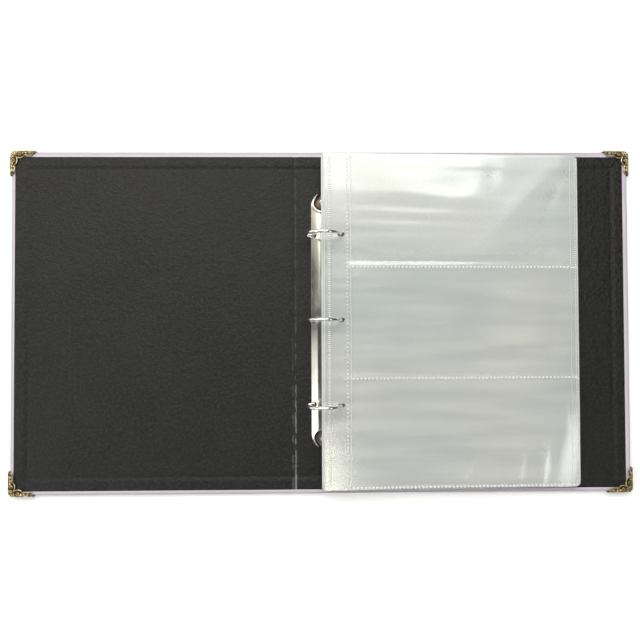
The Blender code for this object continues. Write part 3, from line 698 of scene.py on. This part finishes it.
def brass_relief(across, along):
    """Height, from 0 to 1, of the stamped ornament; distances are from the two outer edges."""
    near, far = np.minimum(across, along), np.maximum(across, along)
    width = leg_width(far)
    beads = 0.78 + 0.22 * np.cos(math.tau * far / BEAD_PITCH)
    rim = ridge(near - 0.55 * MM, 0.42 * MM) * beads
    inner_rim = ridge(width - near - 0.45 * MM, 0.48 * MM) * (far > SHELL_CENTRE + 0.4 * MM)
    ornament = np.maximum(rim, inner_rim)
    for middle, out, radius in SCROLLS:
        from_eye = np.hypot(far - middle * MM, near - out * MM)
        turn = np.arctan2(near - out * MM, far - middle * MM)
        spiral = radius * MM * (1 - 0.28 * (turn / math.pi))
        ornament = np.maximum(ornament, 0.9 * ridge(from_eye - spiral, 0.24 * MM))
        ornament = np.maximum(ornament, 0.95 * ridge(from_eye, 0.36 * MM))
    stem = 1.75 * MM + 0.35 * MM * np.sin(far * math.tau / (5.4 * MM))
    stem_reach = smooth(far, 6.0 * MM, 7.0 * MM) * (1 - smooth(far, 19.0 * MM, 20.5 * MM))
    ornament = np.maximum(ornament, 0.7 * ridge(near - stem, 0.22 * MM) * stem_reach)
    ribs_turn = np.arctan2(SHELL_CENTRE - across, SHELL_CENTRE - along)
    from_centre = np.hypot(SHELL_CENTRE - across, SHELL_CENTRE - along)
    ribs = (0.5 + 0.5 * np.cos(ribs_turn * SHELL_RIBS)) ** 0.7 * smooth(from_centre, 0.5 * MM, 1.4 * MM)
    shell = np.maximum(ribs * 0.9, ridge(from_centre, 0.6 * MM))
    in_shell = 1 - smooth(far, SHELL_CENTRE + 0.2 * MM, SHELL_CENTRE + 0.9 * MM)
    return np.maximum(ornament * (1 - in_shell), 0) + np.maximum(shell, rim) * in_shell


def corner_stations():
    """Matching points of a corner's outer and inner outline, as (distance across, along) pairs."""
    join = SHELL_CENTRE + 0.3 * MM
    legs = np.linspace(BRASS_LEG, join, LEG_STEPS)
    outer = [(0.0, s) for s in legs]
    inner = [(w, s) for w, s in zip(leg_width(legs), legs)]
    shoulder = inner[-1][0]
    arc = [math.radians(a) for a in np.linspace(0, 90, BEND_STEPS)]
    bend_outer = [(0.0, join - (join - BRASS_RADIUS) * t) for t in (0.33, 0.66)]
    bend_outer += [(BRASS_RADIUS * (1 - math.cos(a)), BRASS_RADIUS * (1 - math.sin(a))) for a in arc]
    bend_outer += [(b, a) for a, b in bend_outer[1::-1]]
    bend_inner = []
    for share in np.linspace(0, 1, len(bend_outer) + 2)[1:-1]:
        lean = 1 - share
        pull = 2 * share * lean
        bend_inner.append((lean ** 2 * shoulder + pull * SHELL_CENTRE * 0.86 + share ** 2 * join,
                           lean ** 2 * join + pull * SHELL_CENTRE * 0.86 + share ** 2 * shoulder))
    outer += bend_outer + [(b, a) for a, b in outer[::-1]]
    inner += bend_inner + [(b, a) for a, b in inner[::-1]]
    return np.array(outer), np.array(inner)


def brass_face(a, b, length, roll):
    """(across, along, drop, relief) from a corner's inner outline at b to its rolled edge at a."""
    stations = []
    for share in np.linspace(1, 0, BRASS_STEPS):
        across, along = a + (b - a) * share
        drop = roll - math.sqrt(max(roll ** 2 - max(roll - share * length, 0.0) ** 2, 0.0))
        stations.append((across, along, drop, float(brass_relief(across, along))))
    return stations


def brass_corner(name, side_x, side_y):
    """A pressed cap: an ornamented plate over the cover, a wall, and its twin underneath."""
    outer, inner = corner_stations()
    reach = np.linalg.norm(inner - outer, axis=1)
    loops = []
    for a, b, length in zip(outer, inner, reach):
        roll = min(BRASS_ROLL, 0.4 * length)
        face = brass_face(a, b, length, roll)
        loop = [(across, along, BRASS_TOP - 0.1 * MM - drop + BRASS_RELIEF * lift, lift)
                for across, along, drop, lift in face]
        top_wall = loop[-1][2]
        for share in np.linspace(0, 1, 6)[1:-1]:
            loop.append((*a, top_wall + (roll - top_wall) * share, 0.55))
        for across, along, drop, lift in face[::-1]:
            loop.append((across, along, (BRASS_RELIEF - 0.05 * MM) * (1 - lift) + drop, lift))
        inside = BRASS_THICKNESS / max(length, 2 * BRASS_THICKNESS)
        low, high = 0.62 * MM, BRASS_TOP - BRASS_THICKNESS
        for share, z in ((0.97, low), (0.6, low), (inside, low + 0.2 * MM), (inside, 1.6 * MM),
                         (inside, high - 1.2 * MM), (inside, high - 0.2 * MM), (0.6, high), (0.97, high)):
            across, along = a + (b - a) * share
            loop.append((across, along, z, 0.1))
        loops.append(loop)
    loops = np.array(loops)
    relief = loops[:, :, 3].ravel()
    places = np.stack([side_x * (BRASS_X - loops[:, :, 0]), side_y * (BRASS_Y - loops[:, :, 1]),
                       loops[:, :, 2]], axis=2)
    points, faces = lofted_body(places)
    return make_piece(name, points, faces, BRASS, 60, relief=relief)


def build_corners():
    for cover, side_x in (("back", 1), ("front", -1)):
        for end, side_y in (("head", 1), ("foot", -1)):
            node = f"{cover}_{end}_corner"
            corner = brass_corner("stamped_" + node, side_x, side_y)
            finish_piece(corner, cover + "_cover", "antique_brass", node)


# ======== ring mechanism ========

def ring_rows():
    return [MECH_Y + k * RING_PITCH for k in (1, 0, -1)]


def housing_surface(turns, places, inside):
    """Points of the arch, and the mask for the painted shade on its scoops' floors: turns run across it
    from -90 to 90 degrees, places along it.
    """
    turn, place = np.meshgrid(turns, places, indexing="ij")
    along = np.abs(place)
    past = np.maximum(along - (HOUSING_HALF_LENGTH - HOUSING_TAPER), 0.0)
    width = HOUSING_HALF_WIDTH * np.sqrt(1 - (past / HOUSING_NOSE) ** 2)
    x = width * np.sin(turn)
    from_rivet = np.hypot(x, np.minimum(along - RIVET_Y, 0.0))
    floor = np.minimum(SCOOP_RADIUS, width - SCOOP_LIP) - SCOOP_WALL
    scoop = smooth(from_rivet, floor, floor + SCOOP_WALL)
    lip = SCOOP_BEAD * ridge(from_rivet - floor - SCOOP_WALL - 0.2 * MM, 1.3 * MM)
    tab = HOUSING_SHEET * np.minimum(1.0, 8 * np.cos(turn))
    # hollow marks each scoop's floor, where the nickel gets its painted shade.
    hollow = smooth(from_rivet, 1.5 * MM, floor - 0.5 * MM) * 0.15 + 0.85
    hollow = hollow * (1 - smooth(from_rivet, floor + 0.2 * SCOOP_WALL, floor + 0.7 * SCOOP_WALL))
    arch = (HOUSING_CROWN - 0.25 * MM) * (1 - HOUSING_FALL * np.sin(turn) ** 2)
    arch = arch * smooth(np.cos(turn), 0.0, 0.12)
    rise = np.maximum(arch * scoop + lip, tab)
    if inside:
        x = (width - HOUSING_SHEET) * np.sin(turn)
        rise = np.maximum(rise - HOUSING_SHEET, 0.0)
    return np.stack([MECH_X + x, MECH_Y + place, HOUSING_Z + rise], axis=2), hollow


def slot_body(middle_x, middle_y, half_length, half_width, low, high, sides=16):
    """A round-ended upright cutter whose length runs across the album."""
    turns = np.arange(sides) * math.tau / sides + math.pi / sides
    ends = np.where(np.cos(turns) > 0, 1, -1) * (half_length - half_width)
    outline = list(zip(middle_x + ends + half_width * np.cos(turns), middle_y + half_width * np.sin(turns)))
    return lofted_body(np.array([[(x, y, z) for x, y in outline] for z in (low, high)]))


def housing():
    """The arched steel cover with a scooped, riveted tab at each end and six slots for the rings."""
    scoop = RIVET_Y - SCOOP_RADIUS
    half = spread((0, scoop - 2 * MM, 2.5 * MM), (scoop - 2 * MM, HOUSING_HALF_LENGTH, 0.3 * MM))
    places = np.concatenate([-half[:0:-1], half])
    turns = np.radians(np.linspace(-90, 90, HOUSING_STEPS))
    outside, hollow = housing_surface(turns, places, False)
    inside, _ = housing_surface(turns, places, True)
    points, faces = layered_body(outside, inside)
    piece = make_piece("arched_housing", points, faces, NICKEL, 40, hollow=np.tile(hollow.ravel(), 2))
    slots = [slot_body(MECH_X + side * HOUSING_SLOT_X, y, *HOUSING_SLOT, PIVOT_Z, RING_Z)
             for y in ring_rows() for side in (-1, 1)]
    cut_out(piece, slots)
    piece.data.set_sharp_from_angle(angle=math.radians(40))
    return piece


def rivet(name, y):
    """A tubular rivet: flat head under the spine, shank, and a rolled hollow rim on the tab."""
    tab = HOUSING_Z + HOUSING_SHEET + 0.1 * MM
    profile = [(radius * MM, height * MM) for radius, height in RIVET_HEAD]
    profile += [(1.6 * MM, tab), (2.6 * MM, tab)]
    for angle in np.radians(np.linspace(-20, 200, 12)):
        profile.append((2.15 * MM + RIVET_RIM * math.cos(angle),
                        RIVET_TOP - RIVET_RIM + RIVET_RIM * math.sin(angle)))
    profile += [(1.35 * MM, tab + 0.1 * MM), (0.0, tab)]
    points, faces = turned_body(profile, (MECH_X, y), RIVET_SIDES)
    return make_piece(name, points, faces, NICKEL, 50)


def wire_path():
    """(x, z) along a right half ring's wire, from its tip to its foot on the rail."""
    tip_angle = 90 + math.degrees(math.asin(RING_LAP / RING_RADIUS))
    angles = np.radians(np.linspace(tip_angle, RING_FOOT_ANGLE, WIRE_STEPS))
    path = [(RING_RADIUS * math.cos(a), RING_Z + RING_RADIUS * math.sin(a)) for a in angles]
    path.append((RING_FOOT_X + 0.25 * MM, PIVOT_Z + 1.9 * MM))
    path.append((RING_FOOT_X, PIVOT_Z + 0.75 * MM))
    return np.array(path)


def half_ring(name, y, side):
    """Half a ring in round wire, with a half-lap in its tip; the left one is turned half round."""
    path = wire_path()
    run = np.gradient(path, axis=0)
    run /= np.linalg.norm(run, axis=1)[:, None]
    across = np.stack([run[:, 1], -run[:, 0]], axis=1)
    across[-1] = (-1.0, 0.0)
    turns = (np.arange(WIRE_SIDES) + 0.5) * math.tau / WIRE_SIDES
    radius = np.full(len(path), WIRE_RADIUS)
    radius[0] *= 0.9
    loops = np.zeros((len(path), len(turns), 3))
    for i, (x, z) in enumerate(path):
        out = radius[i] * np.cos(turns)
        loops[i, :, 0] = MECH_X + side * (x + across[i, 0] * out)
        loops[i, :, 1] = y + side * radius[i] * np.sin(turns)
        loops[i, :, 2] = z + across[i, 1] * out
    points, faces = lofted_body(loops)
    ring = make_piece(name, points, faces, WIRE_NICKEL, 45)
    lap = RING_LAP + 0.2 * MM
    top = RING_Z + RING_RADIUS
    ends = [MECH_X - side * 4 * MM, MECH_X + side * lap]
    room = np.array([[(x, y + side * w, top + h) for w, h in
                      ((-0.15 * MM, -3 * MM), (3 * MM, -3 * MM), (3 * MM, 3 * MM), (-0.15 * MM, 3 * MM))]
                     for x in ends])
    cut_out(ring, [lofted_body(room)])
    ring.data.set_sharp_from_angle(angle=math.radians(45))
    return ring


def build_mechanism():
    finish_piece(housing(), "spine", "nickel", "ring_housing")
    for end, side in (("head", 1), ("foot", -1)):
        node = f"rivet_{end}_end"
        finish_piece(rivet(f"tubular_rivet_{end}", MECH_Y + side * RIVET_Y), "spine", "nickel", node)
    for number, y in enumerate(ring_rows(), start=1):
        for hand, side in (("right", 1), ("left", -1)):
            node = f"{hand}_half_ring_{number}"
            finish_piece(half_ring("wire_" + node, y, side), hand + "_rings", "nickel", node)
    for hand in ("right", "left"):
        paint_node(hand + "_rail", NICKEL)


# ======== pocket sheets ========

# Wrinkles of the top sheet, in millimetres: where the middle is, the way it runs in degrees from
# +X, its length, the half width of its crest, and its rise.
LEAF_WRINKLES = (
    (124, 129.5, -1, 200, 3.4, 0.13),
    (86, 104, -3, 130, 6, 0.16),
    (78, 89, -2, 120, 3.4, 0.15),
    (72, 79, -1, 110, 3.2, 0.17),
    (64, 69, 1, 110, 4.2, 0.22),
    (40, 60, -14, 50, 4, 0.12),
    (70, 113, -26, 70, 12, 0.18),
    (118, 101, 30, 70, 10, 0.15),
    (141, 119, 82, 44, 9, -0.15),
    (100, 124, 12, 60, 8, 0.10),
    (168, 104, 49, 120, 8, 0.28),
    (196, 110, 60, 60, 6, -0.16),
    (120, 60, 24, 60, 7, 0.08),
    (44, 29, 22, 30, 3.2, 0.18),
    (28, 38, 30, 26, 2.6, 0.14),
    (190, 8, 80, 70, 6, -0.20),
    (150, 10, 64, 60, 9, 0.14),
    (60, -14, 3, 90, 6, 0.08),
    (90, -30, 2, 110, 5, -0.06),
    (60, -76, 4, 90, 8, 0.07),
    (52, -96, 12, 50, 6, 0.10),
    (122, -122, 62, 26, 2, 0.26),
    (104, -128, 70, 16, 2.4, 0.14),
    (163, -120, 82, 36, 3, 0.24),
    (183, -116, 84, 44, 3.6, 0.26),
)


class Sheet:
    """One pocket sheet's outline and height, read from its CAD node."""

    def __init__(self, number):
        self.number = number
        self.node = f"pocket_sheet_{number:02d}"
        self.top_leaf = number == SHEET_COUNT
        low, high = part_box(self.node)
        self.left, self.right = low.x, high.x
        self.foot, self.head = low.y, high.y
        self.bind_z = high.z - CAD_FILM
        self.rest_z = low.z
        self.holes = self.left + HOLE_TO_EDGE
        self.phase = 1.7 * number

    def height(self, x, y):
        """Underside of the sheet."""
        if self.top_leaf:
            slope = (self.bind_z - self.rest_z) / (self.right - self.left)
            flat = self.bind_z - slope * (x - self.left)
            return flat + self.leaf_shape(x, y) - self.corner_droop(x, y)
        fall = smooth(x, self.holes + SHEET_FLAT, self.holes + SHEET_FALL)
        level = self.bind_z + (self.rest_z - self.bind_z) * fall
        wave = np.sin(x * 47 + self.phase) * np.sin(y * 33 + 2 * self.phase)
        wave = wave + 0.6 * np.sin(y * 121 + self.phase + 9 * x)
        loose = smooth(x, self.left + 4 * MM, self.left + 40 * MM)
        return level + LOOSE_WAVE * (1 + wave * loose)

    def leaf_shape(self, x, y):
        """What the top sheet adds to its flat slope: raised seams and wrinkles."""
        in_pockets = smooth(x, self.left + 14 * MM, self.left + 24 * MM)
        shape = 0.1 * MM * np.ones_like(x)
        for weld in ROW_WELDS:
            over = 1 - smooth(y, weld + 0.6 * MM, weld + 6.0 * MM)
            over = over * smooth(y, weld - 0.5 * MM, weld + 0.3 * MM)
            slack = 1 - 0.4 * smooth(x, self.left + 40 * MM, self.left + 190 * MM)
            shape = shape + SEAM_RISE * over * in_pockets * slack
        for middle_x, middle_y, heading, length, width, rise in LEAF_WRINKLES:
            turn = math.radians(heading)
            run_x, run_y = x - middle_x * MM, y - middle_y * MM
            along = run_x * math.cos(turn) + run_y * math.sin(turn)
            aside = -run_x * math.sin(turn) + run_y * math.cos(turn)
            shape = shape + rise * MM * ridge(aside, width * MM) * ridge(along, length * MM / 2.2)
        return shape

    def corner_droop(self, x, y):
        """How far the leaf's loose corner hangs at the foot's right end."""
        past_x = np.maximum(x - self.right + 22 * MM, 0)
        past_y = np.maximum(self.foot + 46 * MM - y, 0) / 2.2
        return CORNER_DROOP * smooth(np.hypot(past_x, past_y), 6 * MM, 26 * MM)

    def lift(self, x, y):
        """0 where a sheet lies close on the next, 1 where it is lifted; the top leaf's head pocket gets
        more as a painted highlight.
        """
        if not self.top_leaf:
            return np.full_like(x, 0.5)
        # Painted highlight: the head pocket is not raised, but is made milkier and more opaque, standing in
        # for a bright reflection across it.
        painted_head_sheen = smooth(y, ROW_WELDS[0] + 2 * MM, ROW_WELDS[0] + 20 * MM)
        return 0.52 + 0.3 * np.tanh((self.leaf_shape(x, y) - 0.1 * MM) / (0.3 * MM)) + 0.3 * painted_head_sheen

    def outline(self, x, y):
        """y drawn in near the right edge, so that the two right corners are round."""
        inward = np.clip(SHEET_CORNER - (self.right - x), 0, SHEET_CORNER)
        cut = SHEET_CORNER - np.sqrt(SHEET_CORNER ** 2 - inward ** 2)
        middle = (self.head + self.foot) / 2
        half = (self.head - self.foot) / 2
        return middle + (y - middle) * (1 - cut / half)

    def film(self, fine):
        """The film itself as a closed body."""
        step = (1.5 if fine else 5.0) * MM
        strip = self.left + BINDING_STRIP
        columns = spread((self.left, strip, step * 0.8), (strip, self.right, step),
                         (self.right - SHEET_CORNER, self.right, SHEET_CORNER / 9))
        stretches = [(self.foot, self.head, step)]
        if fine:
            stretches += [(weld - 1 * MM, weld + 1.5 * MM, 0.5 * MM) for weld in ROW_WELDS]
        x, y = np.meshgrid(columns, spread(*stretches), indexing="ij")
        y = self.outline(x, y)
        z = self.height(x, y)
        points, faces = layered_body(np.stack([x, y, z + FILM], axis=2), np.stack([x, y, z], axis=2))
        return points, faces, np.tile(self.lift(x, y).ravel(), 2)

    def pillow(self, x, y, length, width):
        """A weld's pressed pillow: a small dome that stands on the film."""
        turns = np.arange(8) * math.tau / 8
        points, faces = [], []
        for size, lift in ((1.0, 0.5), (0.86, 1.5), (0.5, 2.0)):
            ring_x = x + size * length / 2 * np.cos(turns)
            ring_y = y + size * width / 2 * np.sin(turns)
            points += list(zip(ring_x, ring_y, [lift * FILM] * 8))
        points.append((x, y, 2.2 * FILM))
        faces.append(tuple(range(8)))
        for first in (0, 8):
            faces += [(first + i, first + (i + 1) % 8, first + 8 + (i + 1) % 8, first + 8 + i)
                      for i in range(8)]
        faces += [(16 + i, 16 + (i + 1) % 8, 24) for i in range(8)]
        points = np.array(points)
        points[:, 2] += self.height(points[:, 0], points[:, 1])
        return points, faces

    def bead(self, x, half_width):
        """The cut edge of a pocket's inner film, a low bead from head to foot."""
        profile = ((-1.0, 0.5), (-0.5, 1.8), (0.5, 1.8), (1.0, 0.5))
        loops = []
        for y in spread((self.foot + 2 * MM, self.head - 2 * MM, 3 * MM)):
            z = float(self.height(np.array(x), np.array(y)))
            loops.append([(x + half_width * aside, y, z + rise * FILM) for aside, rise in profile])
        return lofted_body(np.array(loops))

    def welds(self):
        """The pillows and beads of every weld line, and how frosted each one is."""
        fine = self.number > SHEET_COUNT - 4
        # Where each upright line is, its pillows' length, width and spacing, and how frosted they are.
        lines = [(self.left + LADDER_WELD, 3.6 * MM, 0.8 * MM, WELD_PITCH / 2, 0.60),
                 (self.left + LADDER_WELD, 1.4 * MM, 1.3 * MM, WELD_PITCH, 0.95),
                 (self.left + DOTTED_WELD, 1.8 * MM, 1.7 * MM, WELD_PITCH, 0.80),
                 (self.right - RIGHT_WELD, 1.6 * MM, 0.9 * MM, WELD_PITCH / 2, 0.75)]
        bodies, frosting = [], []
        for x, length, width, pitch, frost in lines if fine else lines[1:2]:
            uprights = np.arange(self.foot + 3 * MM, self.head - 2 * MM, pitch)
            bodies += [self.pillow(x, y, length, width) for y in uprights]
            frosting += [frost] * len(uprights)
        edges = [(self.left + 0.5 * MM, 0.35 * MM)]
        if self.number >= SHEET_COUNT - 1:
            edges += [(self.right - 0.6 * MM, 0.4 * MM), (self.left + POCKET_EDGE, 0.4 * MM),
                      (self.right - RIGHT_LINE, 0.25 * MM)]
            runs = np.arange(self.left + POCKET_EDGE + 2 * MM, self.right - 4 * MM, WELD_PITCH)
            for y in (*ROW_WELDS, self.foot + FOOT_WELD):
                bodies += [self.pillow(x, y, *ROW_PILLOW) for x in runs]
                frosting += [1.0] * len(runs)
        bodies += [self.bead(x, half_width) for x, half_width in edges]
        frosting += [0.6] * len(edges)
        return bodies, np.array(frosting)

    def build(self):
        fine = self.number >= SHEET_COUNT - 1
        points, faces, lift = self.film(fine)
        material = LEAF_FILM if self.top_leaf else STACK_FILM
        sheet = make_piece("film_" + self.node, points, faces, material, 40, weld=0 * lift, lift=lift)
        low, high = self.bind_z - 2 * MM, self.bind_z + 2 * MM
        start, end = LEAF_SLOT if self.top_leaf else STACK_SLOT
        if not self.top_leaf:
            start += self.number * STACK_SLOT_STEP
        middle = self.holes + (start + end) / 2
        drills = [slot_body(middle, y, (end - start) / 2, RING_SLOT_HALF_WIDTH, low, high, SLOT_SIDES)
                  for y in ring_rows()]
        cut_out(sheet, drills)
        bodies, frosting = self.welds()
        points, faces, owners = merge_bodies(bodies)
        pillows = make_piece(sheet.name + "_welds", points, faces, material, None,
                             weld=frosting[owners], lift=np.ones(len(points)))
        join_into(sheet, pillows)
        body = "top_leaf" if self.top_leaf else "sheet_stack"
        finish_piece(sheet, body, "clear_film", self.node)


def join_into(piece, extra):
    """Add another piece's mesh to a piece."""
    bm = bmesh.new()
    bm.from_mesh(piece.data)
    bm.from_mesh(extra.data)
    bm.to_mesh(piece.data)
    bm.free()
    bpy.data.objects.remove(extra, do_unlink=True)


# ======== studio ========

CAMERA_PLACE = (-8.4435 * MM, -7.4715 * MM, 480.0164 * MM)
CAMERA_PITCH = 1.0904  # degrees that the view leans towards the head, then sideways
CAMERA_LEAN = -0.8063
CAMERA_TURN = -0.2004  # and that it turns about its own line
CAMERA_LENS = 31.809  # mm on a 36 mm wide sensor


def add_camera():
    data = bpy.data.cameras.new("camera")
    data.sensor_width = 36.0
    data.lens = CAMERA_LENS
    data.clip_start = 0.01
    data.clip_end = 50.0
    camera = add_object("camera", data)
    turn = (Matrix.Rotation(math.radians(CAMERA_PITCH), 3, "X")
            @ Matrix.Rotation(math.radians(CAMERA_LEAN), 3, "Y")
            @ Matrix.Rotation(math.radians(CAMERA_TURN), 3, "Z"))
    camera.matrix_world = Matrix.Translation(CAMERA_PLACE) @ turn.to_4x4()
    bpy.context.scene.camera = camera


WHITE = (1.0, 1.0, 1.0)
WARM = (1.0, 0.955, 0.83)


def add_softbox(name, place, size, radiance, colour, aim=(0.05, 0.0, 0.0)):
    """A rectangular light that shows in the gloss; radiance is its brightness to look at."""
    data = bpy.data.lights.new(name, "AREA")
    data.shape = "RECTANGLE"
    data.size, data.size_y = size
    data.energy = radiance * size[0] * size[1] * math.pi
    data.color = colour
    light = add_object(name, data)
    light.location = place
    light.rotation_mode = "QUATERNION"
    light.rotation_quaternion = (Vector(aim) - Vector(place)).to_track_quat("-Z", "Y")


def add_ramp(nodes, source, interpolation, stops):
    """A grey ramp from (position, level) stops."""
    colour = nodes.node("ValToRGB", {"Fac": source}, "Color")
    ramp = colour.node.color_ramp
    ramp.interpolation = interpolation
    for position, _ in stops[1:-1]:
        ramp.elements.new(position)
    for element, (position, level) in zip(ramp.elements, stops):
        element.position = position
        element.color = (level, level, level, 1.0)
    return colour


# The room's light: level by the sine of the height above the horizon, then the share of it that is
# left from the far left (0) to the far right (1).
ROOM_BY_HEIGHT = ((0.0, 0.30), (0.5, 0.32), (0.75, 0.30), (0.88, 0.20), (0.97, 0.12), (1.0, 0.06))
ROOM_SIDEWAYS = ((0.0, 0.22), (0.27, 0.24), (0.42, 1.0), (0.5, 1.0), (0.66, 0.80), (0.71, 0.50),
                 (0.76, 0.35), (1.0, 0.30))


def add_room():
    """Pale walls with a dark patch straight overhead, darker to the left and dimmer to the right."""
    world = bpy.data.worlds.new("room")
    bpy.context.scene.world = world
    world.use_nodes = True
    nodes = Nodes(world.node_tree, "Background")
    direction = nodes.node("TexCoord", {}, "Generated")
    x = nodes.node("SeparateXYZ", {0: direction}, "X")
    height = add_ramp(nodes, x.node.outputs["Z"], "LINEAR", ROOM_BY_HEIGHT)
    across = nodes.node("Math", {0: x, 1: 0.5, 2: 0.5}, operation="MULTIPLY_ADD")
    sideways = add_ramp(nodes, across, "EASE", ROOM_SIDEWAYS)
    nodes.set("Color", nodes.node("VectorMath", {0: height, 1: sideways}, operation="MULTIPLY"))
    nodes.set("Strength", 1.0)


def add_floor():
    bm = bmesh.new()
    bmesh.ops.create_grid(bm, x_segments=8, y_segments=8, size=3.0)
    mesh = bpy.data.meshes.new("studio_floor")
    bm.to_mesh(mesh)
    bm.free()
    mesh.materials.append(studio_floor())
    floor = add_object("studio_floor", mesh)
    floor.location.z = -0.1 * MM


# Name, place, size, radiance, colour and, for some, the aim. The left panels stand upright and show
# in the ring housing's left flank.
LIGHTS = (
    ("head_softbox", (-0.14, 0.79, 1.25), (1.64, 0.74), 4.5, (1.0, 1.0, 0.955), (-0.14, 0.0, 0.0)),
    ("head_card", (-0.08, 0.40, 1.40), (0.56, 0.15), 1.2, (1.0, 0.985, 0.92)),
    ("head_glow", (0.82, 0.57, 1.27), (0.24, 0.50), 1.1, WHITE),
    ("left_head_panel", (-0.92, 0.66, 1.35), (0.66, 2.66), 1.6, WARM, (0.05, 0.66, 1.35)),
    ("left_head_fade", (-0.92, 0.26, 1.35), (0.14, 2.66), 0.42, WARM, (0.05, 0.26, 1.35)),
    ("left_low_strip", (-0.92, 0.08, 0.15), (0.22, 0.26), 0.70, (1.0, 0.97, 0.9), (0.05, 0.08, 0.15)),
    ("left_foot_fade", (-0.92, -0.085, 0.58), (0.11, 1.12), 0.85, (1.0, 0.98, 0.92),
     (0.05, -0.085, 0.58)),
    ("left_foot_panel", (-0.92, -0.33, 0.58), (0.38, 1.12), 1.5, (1.0, 1.0, 0.98), (0.05, -0.33, 0.58)),
    ("left_foot_softbox", (-1.35, -0.85, 1.35), (1.0, 0.70), 3.0, WHITE),
    ("right_foot_card", (0.92, -0.47, 0.97), (0.38, 0.30), 4.8, WHITE),
    ("foot_softbox", (0.0, -0.95, 1.2), (1.5, 0.4), 1.2, WHITE),
    ("foot_card", (0.12, -0.55, 1.40), (0.11, 0.42), 6.8, (1.0, 0.94, 0.82)),
)


def build_studio():
    add_camera()
    add_room()
    for light in LIGHTS:
        add_softbox(*light)
    add_floor()
    bpy.context.scene.view_settings.view_transform = "Standard"


# ======== the album ========

LILAC = lilac_leatherette()
LINING = black_leatherette()
BOARD = greyboard()
BRASS = antique_brass()
NICKEL = nickel_plate("nickel_plate", 0.10)
WIRE_NICKEL = nickel_plate("polished_wire", 0.045)
STACK_FILM = clear_film("stack_film", (0.79, 0.82, 0.795), 0.55, 0.85, 0.42)
LEAF_FILM = clear_film("leaf_film", (0.81, 0.83, 0.805), 0.32, 0.90, 0.12)

build_studio()
build_case()
build_corners()
build_mechanism()
for sheet_number in range(1, SHEET_COUNT + 1):
    Sheet(sheet_number).build()
